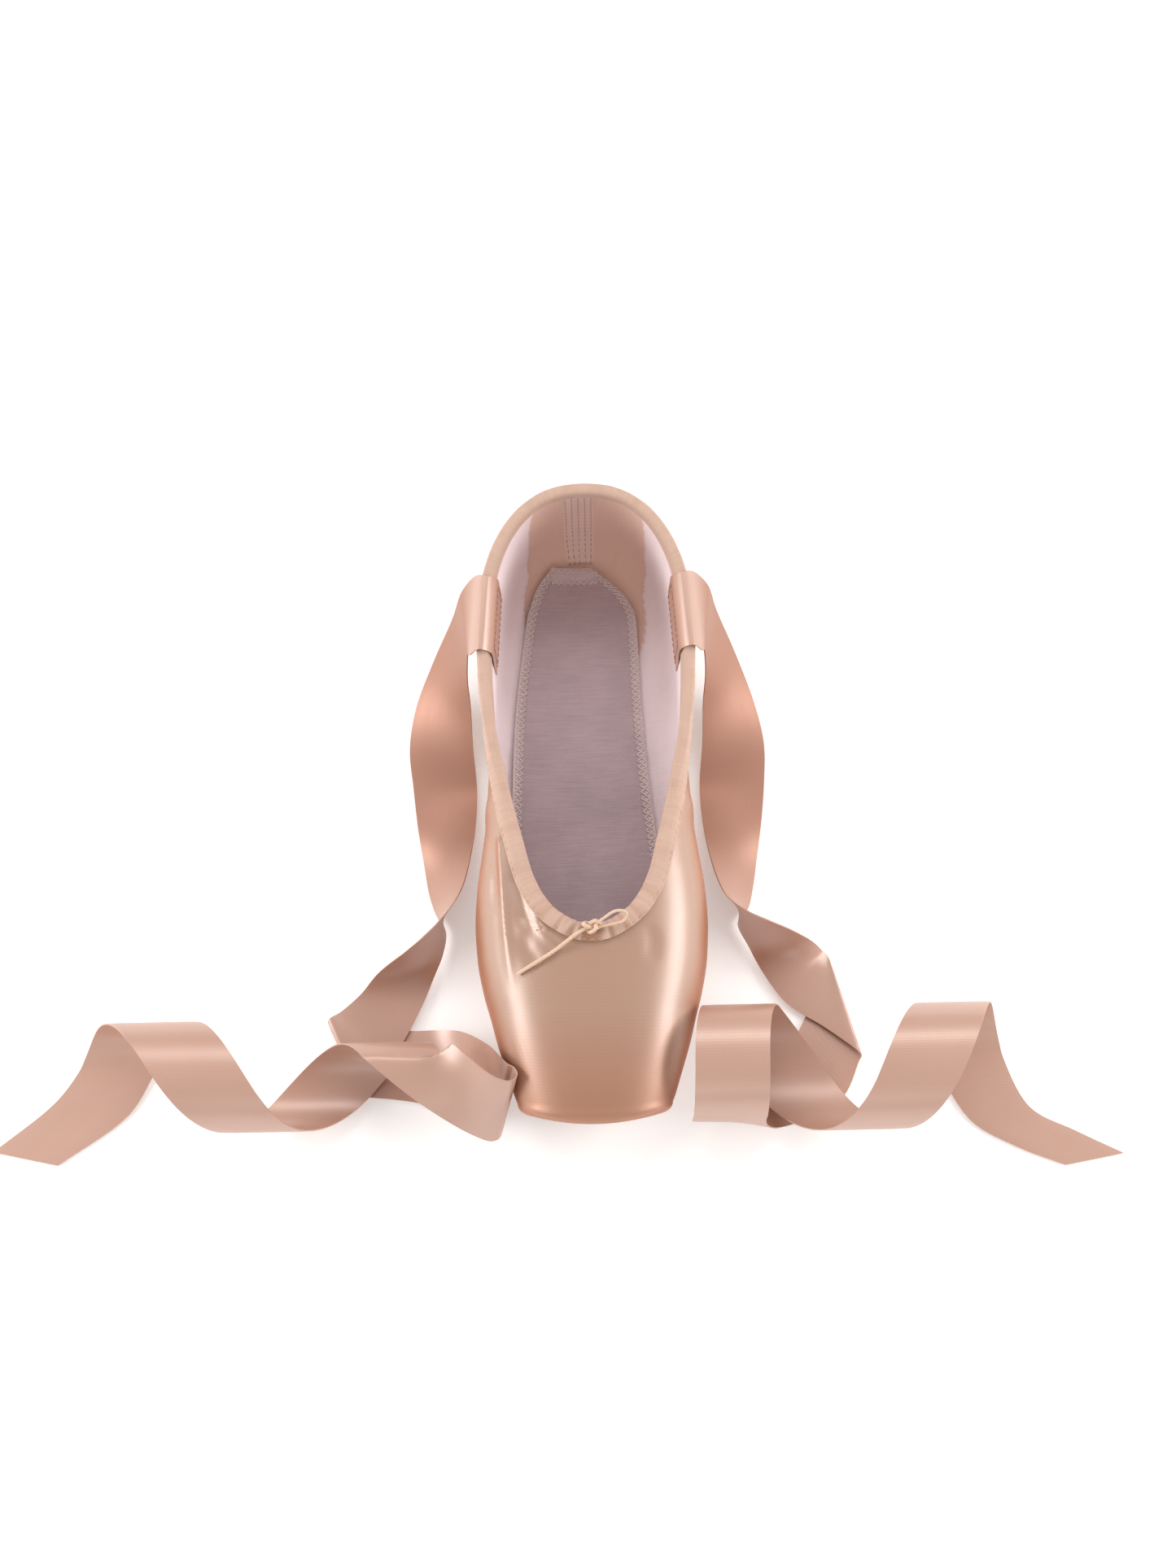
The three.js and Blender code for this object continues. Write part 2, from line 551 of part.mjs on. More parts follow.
// The same at the heel, where the last turns in: the deeper of the sideways and lengthways arcs.
function bedAt(x, y) {
  if (y <= HEEL_CENTRE_Y) return bedHeight(y, x);
  const length = INSOLE.back - HEEL_CENTRE_Y;
  const reach = Math.hypot(x / BED.heelHalf, (y - HEEL_CENTRE_Y) / length);
  const inSide = bedHeight(HEEL_CENTRE_Y, BED.heelHalf * Math.min(1, reach));
  const k = clamp01((HEEL_CENTRE_Y + length * reach - HEEL.underY) / (HEEL.wideY - HEEL.underY));
  const drop = (HEEL.wideZ - SOLE_THICKNESS - GAP) * (1 - k ** LOW_POWER) ** (1 / LOW_POWER);
  return Math.max(inSide, HEEL.wideZ - drop + QUARTER_WALL * BED.wallShare + GAP);
}

const insoleProfiles = outline(INSOLE).map(({ y, half }) => {
  const seat = tread(y) + SOLE_THICKNESS + GAP;
  const flatBed = seat + 2 * GAP + wall(Math.min(y, HEEL_CENTRE_Y)) * BED.middleShare;
  const bed = (x) => Math.max(flatBed, bedAt(x, y) + BED.clear);
  const inHole = y > OPENING_FRONT_Y + DROP.fromFront && y < HEEL.underY - DROP.toHeel;
  const hole = inHole ? frameAt(Math.min(y, HEEL_CENTRE_Y)).low.x - DROP.clear : 0;
  const pastCentre = Math.max(0, y - HEEL_CENTRE_Y) / DROP.taper;
  const step = Math.min(Math.max(0, hole * Math.sqrt(clamp01(1 - pastCentre ** 2))), half * DROP.share);
  const base = step > 0 ? seat : bed(0);
  const edge = bed(half) + (half > 0 ? RIM.lip : 0);
  return [
    V(0, y, base),
    V(step, y, base),
    V(step, y, bed(step)),
    V(half * RIM.turnUp, y, bed(half * RIM.turnUp)),
    V(half, y, edge),
    V(half, y, edge + INSOLE_THICKNESS - RIM.round),
    V(half * RIM.roundShare, y, edge + INSOLE_THICKNESS),
    V(half * RIM.top, y, bed(half * RIM.turnUp) + INSOLE_THICKNESS),
    V(0, y, bed(0) + INSOLE_THICKNESS),
  ];
});
group.add(loft(insoleProfiles).mesh("insole", 0xb59aa0, 0.9));

// Height of the vamp's and quarters' outer skin over a point of the plan, in front of the heel.
function skinHeight(x, y) {
  const f = frameAt(y);
  const reach = 1 - superCos(f.turn, HIGH_POWER);
  const c = clamp01(1 - ((f.wide.x - x) * reach) / (f.wide.x - f.rim.x));
  const h = (1 - c ** HIGH_POWER) ** (1 / HIGH_POWER);
  return f.wide.z + ((f.rim.z - f.wide.z) * h) / superSin(f.turn, HIGH_POWER);
}

const SLOPE_STEP = 0.05;
const SIDEWAYS = { from: -16, over: 20 };
// Unit plan direction away from the opening: square to the throat's edge, sideways at the quarters.
function awayFromOpening(u) {
  if (u <= THROAT_Y) return { x: 0, y: -1 };
  const [ahead, behind] = [u - THROAT_Y + SLOPE_STEP, Math.max(0, u - THROAT_Y - SLOPE_STEP)];
  const rise = collar.half(ahead) - collar.half(behind);
  const run = ahead - behind;
  const plain = smooth((u - SIDEWAYS.from) / SIDEWAYS.over);
  const x = run / Math.hypot(rise, run);
  const y = -rise / Math.hypot(rise, run);
  const mixed = { x: x + (1 - x) * plain, y: y * (1 - plain) };
  const size = Math.hypot(mixed.x, mixed.y);
  return { x: mixed.x / size, y: mixed.y / size };
}

const WALK_STEP = 0.5;
const SPEED_STEP = 0.004;
const SECTION_WALK_FROM_Y = 4;
// Point and normal of the outer skin at a distance below the collar edge.
function belowCollar(u, distance) {
  if (u >= SECTION_WALK_FROM_Y) {
    let v = 1;
    for (let gone = 0; gone < distance - 1e-9; gone += WALK_STEP) {
      const speed = skin(u, v).distanceTo(skin(u, v - SPEED_STEP)) / SPEED_STEP;
      v -= Math.min(WALK_STEP, distance - gone) / speed;
    }
    return { point: skin(u, v), normal: skinNormal(u, v) };
  }
  const way = awayFromOpening(u);
  const edge = skin(u, 1);
  const at = { x: edge.x, y: edge.y };
  const height = (x, y) => skinHeight(Math.abs(x), y);
  for (let gone = 0; gone < distance - 1e-9; gone += WALK_STEP) {
    const step = Math.min(WALK_STEP, distance - gone);
    const next = height(at.x + way.x * SLOPE_STEP, at.y + way.y * SLOPE_STEP);
    const slope = (next - height(at.x, at.y)) / SLOPE_STEP;
    at.x += (way.x * step) / Math.hypot(1, slope);
    at.y += (way.y * step) / Math.hypot(1, slope);
  }
  const dx = (height(at.x + SLOPE_STEP, at.y) - height(at.x - SLOPE_STEP, at.y)) / (2 * SLOPE_STEP);
  const dy = (height(at.x, at.y + SLOPE_STEP) - height(at.x, at.y - SLOPE_STEP)) / (2 * SLOPE_STEP);
  return { point: V(at.x, at.y, height(at.x, at.y)), normal: V(-dx, -dy, 1).normalize() };
}

// Frame at the collar edge: point, skin normal, and the direction on past the edge.
function collarEdge(u) {
  const { point, normal } = belowCollar(u, 0);
  const past = point.clone().sub(belowCollar(u, 0.5).point).normalize();
  return { point, normal, past };
}

// One folded section of the binding: outside skirt, over the edge, inside skirt, back along its inner face.
function bindingSection(u) {
  const w = wall(u);
  const near = BINDING.clear;
  const far = near + BINDING.thickness;
  const { point, normal, past } = collarEdge(u);
  const on = (s, d) => {
    const b = belowCollar(u, s);
    return b.point.addScaledVector(b.normal, d);
  };
  const top = (d, rise) => point.clone().addScaledVector(normal, d).addScaledVector(past, rise);
  const ring = [
    on(BINDING.outside, near),
    on(BINDING.outside, far),
    on(BINDING.outside / 2, far + BINDING.puff),
    on(0, far),
    top(BINDING.over, BINDING.rise + BINDING.thickness),
    top(-w - BINDING.over, BINDING.rise + BINDING.thickness),
    on(0, -w - far),
    on(BINDING.inside / 2, -w - far),
    on(BINDING.inside, -w - far),
    on(BINDING.inside, -w - near),
    on(BINDING.inside / 2, -w - near),
    top(-w - near, BINDING.rise),
    top(near, BINDING.rise),
    on(BINDING.outside / 2, near),
  ];
  const onAxis = u <= THROAT_Y || u >= HEEL_END;
  return onAxis ? ring.map((p) => p.setX(0)) : ring;
}

function bindingHalf() {
  const rings = girths.filter((u) => u >= THROAT_Y).map(bindingSection);
  const s = new Surface();
  for (let i = 0; i + 1 < rings.length; i += 1) {
    const [p, q] = [rings[i], rings[i + 1]];
    for (let j = 0; j < p.length; j += 1) {
      const k = (j + 1) % p.length;
      s.quad(p[j], q[j], q[k], p[k]);
    }
  }
  return s;
}
group.add(bindingHalf().mirrored().mesh("binding", 0xe3bda2, 0.8));

// A ribbon's rows at the collar: up the lining, over the binding, just outside it.
function collarRow(place, offset, past = 0) {
  const edge = (u) => {
    const { point, normal } = place(u);
    return point.clone().addScaledVector(normal, offset(wall(u))).addScaledVector(collarEdge(u).past, past);
  };
  const [a, b] = [edge(RIBBON.heelSide), edge(RIBBON.toeSide)];
  return { ao: a.x, ay: a.y, az: a.z, bo: b.x, by: b.y, bz: b.z };
}

function collarRows() {
  const tape = BINDING.clear + BINDING.thickness;
  const over = BINDING.rise + BINDING.thickness + RIBBON.clear + RIBBON.swell;
  const sewn = SEWN.map(({ down, onTape, stand }) => {
    const lies = RIBBON.clear + stand + (onTape ? tape : 0);
    return collarRow((u) => belowCollar(u, down), (w) => -w - lies);
  });
  const top = collarRow(collarEdge, (w) => -w / 2, over);
  const first = SEWN[SEWN.length - 1].down;
  const outside = collarRow((u) => belowCollar(u, first), () => tape + RIBBON.clear + RIBBON.hang);
  return [...sewn, top, outside];
}

// Rows of the curls: rulings along x on a cylinder whose middle, radius and lift follow the table.
function curlRows(table) {
  const at = reader(table, "turn", ["o", "y", "r", "lift", "half"]);
  const rows = [];
  const last = table[table.length - 1].turn;
  for (let turn = table[0].turn; turn <= last; turn += CURL_STEP) {
    const a = THREE.MathUtils.degToRad(turn);
    const [o, r, half] = [at.o(turn), at.r(turn), at.half(turn)];
    const y = at.y(turn) - r * Math.cos(a);
    const z = at.lift(turn) + r + r * Math.sin(a);
    rows.push({ ao: o + half, ay: y, az: z, bo: o - half, by: y, bz: z });
  }
  return rows;
}

const ROW_STEPS = 2;
const ALONG_STEP = 0.002;
function ribbon(name, sign, rows, colour) {
  const curve = (o, y, z) =>
    new THREE.CatmullRomCurve3(
      rows.map((r) => V(sign * r[o], r[y], r[z])),
      false,
      "centripetal",
    );
  const [edgeA, edgeB] = [curve("ao", "ay", "az"), curve("bo", "by", "bz")];
  const count = (rows.length - 1) * ROW_STEPS;
  const rings = [];
  for (let i = 0; i <= count; i += 1) {
    const t = i / count;
    const [a, b] = [edgeA.getPoint(t), edgeB.getPoint(t)];
    const [before, after] = [Math.max(0, t - ALONG_STEP), Math.min(1, t + ALONG_STEP)];
    const along = edgeA.getPoint(after).add(edgeB.getPoint(after));
    along.sub(edgeA.getPoint(before)).sub(edgeB.getPoint(before));
    const normal = along.cross(b.clone().sub(a)).normalize().multiplyScalar(RIBBON.thickness / 2);
    const below = [a, b].map((p) => p.clone().sub(normal));
    const above = [b, a].map((p) => p.clone().add(normal));
    rings.push([...below, ...above]);
  }
  const s = new Surface();
  for (let i = 0; i < count; i += 1) {
    const [p, q] = [rings[i], rings[i + 1]];
    s.quad(p[0], p[1], q[1], q[0]);
    s.quad(p[1], p[2], q[2], q[1]);
    s.quad(p[3], q[3], q[2], p[2]);
    s.quad(p[3], p[0], q[0], q[3]);
  }
  const [p, q] = [rings[0], rings[count]];
  s.quad(p[3], p[2], p[1], p[0]);
  s.quad(q[0], q[1], q[2], q[3]);
  return s.mesh(name, colour, 0.35);
}

const leftRows = [...collarRows(), ...LEFT_FALL, ...LEFT_LAY, ...curlRows(LEFT_CURL), ...LEFT_END];
const rightRows = [...collarRows(), ...RIGHT_FALL, ...RIGHT_LAY, ...curlRows(RIGHT_CURL), ...RIGHT_END];
group.add(ribbon("ribbon_left", -1, leftRows, 0xd8a78c));
group.add(ribbon("ribbon_right", 1, rightRows, 0xd8a78c));

const CORD_STEPS = 18;
// A round cord along a list of points.
function cord(points) {
  const shape = new THREE.Shape().absarc(0, 0, CORD_RADIUS, 0, 2 * Math.PI, false);
  const path = new THREE.CatmullRomCurve3(points, false, "centripetal");
  const sweep = { steps: CORD_STEPS, curveSegments: 5, extrudePath: path, bevelEnabled: false };
  return new THREE.ExtrudeGeometry(shape, sweep);
}

const CORD_MATERIAL = { color: 0xe8c4a8, roughness: 0.8 };
const tailPoints = TAIL.map(({ x, y, up }) => V(x, y, skinHeight(Math.abs(x), y) + up));
const tail = new THREE.Mesh(cord(tailPoints), new THREE.MeshStandardMaterial(CORD_MATERIAL));
tail.name = "drawstring_tail";
group.add(tail);

function solid(geometry) {
  const merged = mergeVertices(new THREE.BufferGeometry().setAttribute("position", flat(geometry)), 1e-3);
  const vertProperties = merged.attributes.position.array;
  const triVerts = new Uint32Array(merged.index.array);
  return new wasm.Manifold(new wasm.Mesh({ numProp: 3, vertProperties, triVerts }));
}

function flat(geometry) {
  return (geometry.index ? geometry.toNonIndexed() : geometry).getAttribute("position");
}

// The knot: a tight bead of cord with its loop standing out of it.
const bead = new THREE.SphereGeometry(1, 14, 9).scale(...KNOT.half).translate(KNOT.x, KNOT.y, KNOT.z);
const loop = cord(LOOP.map(({ x, y, z }) => V(x, y, z)));
const joined = wasm.Manifold.union(solid(bead), solid(loop)).getMesh();
const knotGeometry = new THREE.BufferGeometry();
knotGeometry.setAttribute("position", new THREE.BufferAttribute(joined.vertProperties, 3));
knotGeometry.setIndex(new THREE.BufferAttribute(joined.triVerts, 1));
const knot = new THREE.Mesh(knotGeometry, new THREE.MeshStandardMaterial(CORD_MATERIAL));
knot.name = "drawstring_knot";
group.add(knot);

export default group;
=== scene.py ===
"""A satin ballet shoe with a blocked toe and two curled ribbons, dressed for its render.

Metres, +Z up, the floor at z = 0, toe towards -Y. The forms come from the same last, collar and
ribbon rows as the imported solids, at a finer step, with creases, gathers, linings and stitches added.
"""

import logging
import math
from dataclasses import dataclass, field
from enum import Enum
from typing import Callable, NamedTuple, Sequence, Union

import bmesh
import bpy
import numpy as np
from mathutils import Matrix, Vector


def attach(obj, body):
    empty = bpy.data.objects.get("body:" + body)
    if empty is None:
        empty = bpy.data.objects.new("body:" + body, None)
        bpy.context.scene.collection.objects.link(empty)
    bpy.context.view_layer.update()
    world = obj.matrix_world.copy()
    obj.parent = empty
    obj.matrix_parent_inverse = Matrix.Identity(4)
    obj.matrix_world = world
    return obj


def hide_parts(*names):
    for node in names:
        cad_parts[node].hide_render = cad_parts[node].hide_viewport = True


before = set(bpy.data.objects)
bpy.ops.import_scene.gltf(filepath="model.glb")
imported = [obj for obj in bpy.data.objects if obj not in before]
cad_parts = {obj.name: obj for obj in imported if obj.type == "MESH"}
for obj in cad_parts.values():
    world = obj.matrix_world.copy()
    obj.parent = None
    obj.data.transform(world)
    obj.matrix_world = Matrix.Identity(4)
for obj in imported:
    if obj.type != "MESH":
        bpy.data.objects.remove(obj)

LOG = logging.getLogger("ballet_shoe")
BODY = "root"
IMAGE_SIZE = (1445, 1927)
UV_UNIT = 0.25
TINY = 1e-9
Point = np.ndarray
Pair = tuple[float, float]
Triple = tuple[float, float, float]
Colour = Triple


class Side(Enum):
    """The two halves of the shoe, by the sign of their X."""

    LEFT = -1
    RIGHT = 1

    @property
    def mirror(self) -> Point:
        """Factors that carry a point of the right half to this side."""
        return np.array([self.value, 1.0, 1.0])


class Fade(Enum):
    """Which ends of a crease run out into the cloth."""

    NONE = 0
    START = 1
    END = 2
    BOTH = 3


def smooth(share: float) -> float:
    """Eases a share from 0 to 1, held outside that range."""
    held = min(1.0, max(0.0, share))
    return held * held * (3 - 2 * held)


def mix(start: float, end: float, share: float) -> float:
    """The value a share of the way from start to end."""
    return start + (end - start) * share


def unit(vector: Point) -> Point:
    """The vector at length 1."""
    return vector / max(float(np.linalg.norm(vector)), 1e-12)


class Table:
    """A given column, read with a monotone cubic between its rows."""

    def __init__(
        self, keys: Sequence[float], values: Sequence[float], warp: Callable[[float], float] = float
    ) -> None:
        """Works out the tangents at the rows.

        Args:
            keys: where the rows stand.
            values: the column at those places.
            warp: spacing in which the column is smooth, such as a square root.
        """
        self.warp = warp
        self.keys = [warp(k) for k in keys]
        self.values = list(values)
        self.steps = [b - a for a, b in zip(self.keys, self.keys[1:])]
        slopes = [(b - a) / h for a, b, h in zip(self.values, self.values[1:], self.steps)]
        self.tangents = [slopes[0]]
        for i in range(1, len(slopes)):
            before, after = slopes[i - 1], slopes[i]
            if before * after <= 0:
                self.tangents.append(0.0)
                continue
            w1 = 2 * self.steps[i] + self.steps[i - 1]
            w2 = self.steps[i] + 2 * self.steps[i - 1]
            self.tangents.append((w1 + w2) / (w1 / before + w2 / after))
        self.tangents.append(slopes[-1])

    def __call__(self, key: float) -> float:
        """The column's value at a key."""
        x = min(self.keys[-1], max(self.keys[0], self.warp(key)))
        i = 0
        while i < len(self.keys) - 2 and x > self.keys[i + 1]:
            i += 1
        h = self.steps[i]
        t = (x - self.keys[i]) / h
        return (
            (1 + 2 * t) * (1 - t) ** 2 * self.values[i]
            + t * (1 - t) ** 2 * h * self.tangents[i]
            + t * t * (3 - 2 * t) * self.values[i + 1]
            + t * t * (t - 1) * h * self.tangents[i + 1]
        )


def root(value: float) -> float:
    """Square root, with anything below zero held at zero."""
    return math.sqrt(max(0.0, value))


class SmoothLine:
    """A centripetal Catmull-Rom curve through points, read by its share of the rows."""

    def __init__(self, points: Sequence[Sequence[float]]) -> None:
        """Keeps the points as an array."""
        self.points = np.asarray(points, float)

    def at(self, share: float) -> Point:
        """The point at a share from 0 to 1."""
        last = len(self.points) - 1
        place = min(max(share, 0.0), 1.0) * last
        i = min(int(place), last - 1)
        w = place - i
        p1, p2 = self.points[i], self.points[i + 1]
        p0 = self.points[i - 1] if i else 2 * p1 - p2
        p3 = self.points[i + 2] if i + 2 <= last else 2 * p2 - p1
        pairs = ((p0, p1), (p1, p2), (p2, p3))
        d0, d1, d2 = (max(float(np.linalg.norm(b - a)), TINY) ** 0.5 for a, b in pairs)
        t1 = ((p1 - p0) / d0 - (p2 - p0) / (d0 + d1) + (p2 - p1) / d1) * d1
        t2 = ((p2 - p1) / d1 - (p3 - p1) / (d1 + d2) + (p3 - p2) / d2) * d1
        c2 = -3 * p1 + 3 * p2 - 2 * t1 - t2
        c3 = 2 * p1 - 2 * p2 + t1 + t2
        return p1 + t1 * w + c2 * w * w + c3 * w**3

    def sample(self, count: int) -> Point:
        """Points at equal shares along the curve."""
        return np.array([self.at(i / (count - 1)) for i in range(count)])


class SideRow(NamedTuple):
    """A girth of the last: its place, widest half width, the height of that, and the crown."""

    y: float
    wide: float
    wide_z: float
    crown: float


class CollarRow(NamedTuple):
    """The collar edge: distance behind the throat, half width, height."""

    back: float
    half: float
    z: float


class UnderRow(NamedTuple):
    """The opening under the upper: distance behind its front end, half width."""

    back: float
    half: float


class Girth(NamedTuple):
    """Three points of one girth, from the lower opening up, and the angle of the arc to the collar edge."""

    low: Point
    wide: Point
    rim: Point
    turn: float


def rows_of(kind: type, *rows: tuple[float, ...]) -> tuple:
    """A given table of one kind of row."""
    return tuple(kind(*row) for row in rows)


SIDES = rows_of(
    SideRow,
    (-0.114, 0.0236, 0.02, 0.0345),
    (-0.109, 0.0264, 0.02, 0.036),
    (-0.101, 0.0291, 0.02, 0.0385),
    (-0.09, 0.0323, 0.02, 0.0415),
    (-0.078, 0.035, 0.02, 0.0442),
    (-0.067, 0.0376, 0.0205, 0.0465),
    (-0.056, 0.0395, 0.021, 0.0482),
    (-0.044, 0.0402, 0.022, 0.0495),
    (-0.032, 0.0396, 0.023, 0.0502),
    (-0.02, 0.038, 0.024, 0.0508),
    (-0.008, 0.0364, 0.025, 0.0515),
    (0.008, 0.0354, 0.0265, 0.052),
    (0.024, 0.0348, 0.028, 0.052),
    (0.054, 0.0346, 0.028, 0.052),
)
COLLAR = rows_of(
    CollarRow,
    (0.0, 0.0, 0.0486),
    (0.003, 0.0088, 0.0484),
    (0.0065, 0.0134, 0.048),
    (0.0125, 0.0178, 0.0474),
    (0.019, 0.0208, 0.0468),
    (0.032, 0.0244, 0.046),
    (0.051, 0.0296, 0.0454),
    (0.072, 0.0344, 0.0462),
    (0.09, 0.0367, 0.0484),
    (0.106, 0.0373, 0.051),
)
UNDER = rows_of(
    UnderRow,
    (0.0, 0.0),
    (0.006, 0.01),
    (0.016, 0.016),
    (0.034, 0.019),
    (0.06, 0.018),
    (0.092, 0.0125),
    (0.116, 0.011),
    (0.146, 0.0135),
)


@dataclass
class Last:
    """The form that the upper is drawn over. A place is (u, v).

    u is Y up to the heel's centre, and past it one thousandth is one degree round the heel.
    v runs from -1 at the lower opening over 0 at the widest line to 1 at the collar edge or the crown.
    """

    toe_y: float = -0.114
    heel_centre_y: float = 0.054
    gap: float = 0.0003
    sole: float = 0.003
    box_wall: float = 0.0024
    quarter_wall: float = 0.0014
    toe_round: float = 0.0042
    toe_bow: float = 0.0026
    toe_bow_half: float = 0.024
    toe_middle_z: float = 0.0215
    toe_radius: float = 0.018
    toe_undercut_deg: float = 7.5
    undercut_from_y: float = -0.062
    undercut_z: float = 0.03505
    low_power: float = 2.7
    high_power: float = 2.4
    least_turn_deg: float = 25.0
    throat_y: float = -0.052
    opening_front_y: float = -0.092
    heel_under_y: float = 0.092
    heel_wide_y: float = 0.114
    heel_wide_z: float = 0.025
    heel_rim_y: float = 0.1092
    heel_rim_z: float = 0.0576
    heel_powers: Triple = (3.0, 2.4, 2.3)
    arch: Triple = (-0.012, 0.056, 0.003)
    spring: Triple = (-0.066, 0.046, 0.0065)
    wall_change: Pair = (-0.062, 0.032)
    quarter_change: Pair = (-0.036, 0.034)
    sideways: Pair = (-0.016, 0.020)
    wall_share: float = 1.06
    per_degree: float = 0.001
    heel_rise_power: float = 1.5
    heel_back_deg: float = 89.999
    nudge: Pair = (0.0003, 0.02)
    plan_step: float = 0.00005
    collar_step: float = 0.0005
    level_step: float = 0.004
    throat_end_y: float = 0.004
    halvings: int = 30
    girths: dict[float, Girth] = field(default_factory=dict, repr=False)

    def __post_init__(self) -> None:
        """Reads the tables into their curves."""
        ys = [r.y for r in SIDES]
        self.wide = Table(ys, [r.wide for r in SIDES])
        self.wide_z = Table(ys, [r.wide_z for r in SIDES])
        self.crown = Table(ys, [r.crown for r in SIDES])
        backs = [r.back for r in COLLAR]
        self.collar_half = Table(backs, [r.half for r in COLLAR], root)
        self.collar_z = Table(backs, [r.z for r in COLLAR], root)
        self.under = Table([r.back for r in UNDER], [r.half for r in UNDER], root)

    @property
    def heel_end(self) -> float:
        """u at the middle of the heel's back."""
        return self.heel_centre_y + 90 * self.per_degree

    def along_collar(self, steps: int, power: float) -> list[float]:
        """Places from the throat to the heel's centre, closer together at the throat."""
        reach = self.heel_centre_y - self.throat_y
        return [self.throat_y + reach * (i / steps) ** power for i in range(steps + 1)]

    def round_heel(self, steps: int) -> list[float]:
        """Places past the heel's centre, up to the middle of its back."""
        return [self.heel_centre_y + 90 * self.per_degree * i / steps for i in range(1, steps + 1)]

    def tread(self, y: float) -> float:
        """Height of the tread line: flat forefoot and heel, raised arch, sprung toe."""
        start, end, rise = self.arch
        arch = rise * math.sin(math.pi * (y - start) / (end - start)) ** 2 if start < y < end else 0.0
        start, over, rise = self.spring
        spring = rise * ((start - y) / over) ** 2 if y < start else 0.0
        return arch + spring

    def wall(self, u: float) -> float:
        """Thickness of the upper, stiffened in the box."""
        start, over = self.wall_change
        return mix(self.box_wall, self.quarter_wall, smooth((u - start) / over))

    def degrees(self, u: float) -> float:
        """Degrees round the heel, 0 in front of its centre."""
        return max(0.0, (u - self.heel_centre_y) / self.per_degree)

    def girth(self, u: float) -> Girth:
        """The girth at a place along the shoe."""
        if u in self.girths:
            return self.girths[u]
        y = min(u, self.heel_centre_y)
        wide, wide_z = self.wide(y), self.wide_z(y)
        half = self.collar_half(y - self.throat_y) if y > self.throat_y else 0.0
        turn = math.acos(min(1.0, half / wide) ** (self.high_power / 2))
        arch_z = wide_z + (self.crown(y) - wide_z) * super_sin(turn, self.high_power)
        start, over = self.quarter_change
        rim_z = mix(arch_z, self.collar_z(y - self.throat_y), smooth((y - start) / over))
        opening = self.under(y - self.opening_front_y) if y > self.opening_front_y else 0.0
        low = np.array([opening, y, self.tread(y) + self.sole + self.gap])
        middle = np.array([wide, y, wide_z])
        rim = np.array([half, y, rim_z])
        if u > self.heel_centre_y:
            a = math.radians(self.degrees(u))
            backs = (self.heel_under_y, self.heel_wide_y, self.heel_rim_y)
            for point, back, power in zip((low, middle, rim), backs, self.heel_powers):
                point[0] *= 0.0 if self.degrees(u) > self.heel_back_deg else super_cos(a, power)
                point[1] += (back - self.heel_centre_y) * super_sin(a, power)
            middle[2] = mix(middle[2], self.heel_wide_z, math.sin(a) ** 2)
            rim[2] = mix(rim[2], self.heel_rim_z, math.sin(a) ** self.heel_rise_power)
        made = Girth(low, middle, rim, max(turn, math.radians(self.least_turn_deg)))
        self.girths[u] = made
        return made

    def shape_toe(self, p: Point) -> Point:
        """Leans the toe's sections out towards the crown and bows its end face."""
        k = smooth((self.undercut_from_y - p[1]) / (self.undercut_from_y - self.toe_y))
        lean = math.tan(math.radians(self.toe_undercut_deg)) * k
        p[1] += self.toe_bow * k * (p[0] / self.toe_bow_half) ** 2 - (p[2] - self.undercut_z) * lean
        return p

    def skin(self, u: float, v: float) -> Point:
        """A point of the outer skin, on the right half."""
        g = self.girth(u)
        if v < 0:
            a = -v * math.pi / 2
            p = g.low + (g.wide - g.low) * super_cos(a, self.low_power)
            p[2] = g.wide[2] - (g.wide[2] - g.low[2]) * super_sin(a, self.low_power)
            return self.shape_toe(p)
        a = v * g.turn
        across = (1 - super_cos(a, self.high_power)) / (1 - super_cos(g.turn, self.high_power))
        up = super_sin(a, self.high_power) / super_sin(g.turn, self.high_power)
        p = g.wide + (g.rim - g.wide) * across
        p[2] = g.wide[2] + (g.rim[2] - g.wide[2]) * up
        if g.rim[0] == 0 and v >= 1:
            p[0] = 0.0
        return self.shape_toe(p)

    def normal(self, u: float, v: float) -> Point:
        """The skin's outward normal, on the right half."""
        du, dv = self.nudge
        u1 = min(u + du, self.heel_end)
        v1 = min(v + dv, 1.0)
        along = self.skin(u1, v) - self.skin(u1 - 2 * du, v)
        up = self.skin(u, v1) - self.skin(u, max(-1.0, v1 - 2 * dv))
        return unit(np.cross(along, up))

    def height(self, x: float, y: float) -> float:
        """Height of the outer skin over a point of the plan, in front of the heel."""
        g = self.girth(y)
        reach = 1 - super_cos(g.turn, self.high_power)
        c = min(1.0, max(0.0, 1 - (g.wide[0] - abs(x)) * reach / (g.wide[0] - g.rim[0])))
        h = (1 - c**self.high_power) ** (1 / self.high_power)
        return g.wide[2] + (g.rim[2] - g.wide[2]) * h / super_sin(g.turn, self.high_power)

    def away(self, u: float) -> Pair:
        """Unit plan direction away from the opening: square to the throat, sideways at the quarters."""
        if u <= self.throat_y:
            return 0.0, -1.0
        back, step = u - self.throat_y, self.plan_step
        rise = self.collar_half(back + step) - self.collar_half(max(0.0, back - step))
        run = 2 * step if back > step else back + step
        start, over = self.sideways
        plain = smooth((u - start) / over)
        x, y = run / math.hypot(rise, run), -rise / math.hypot(rise, run)
        x, y = mix(x, 1.0, plain), y * (1 - plain)
        size = math.hypot(x, y)
        return x / size, y / size

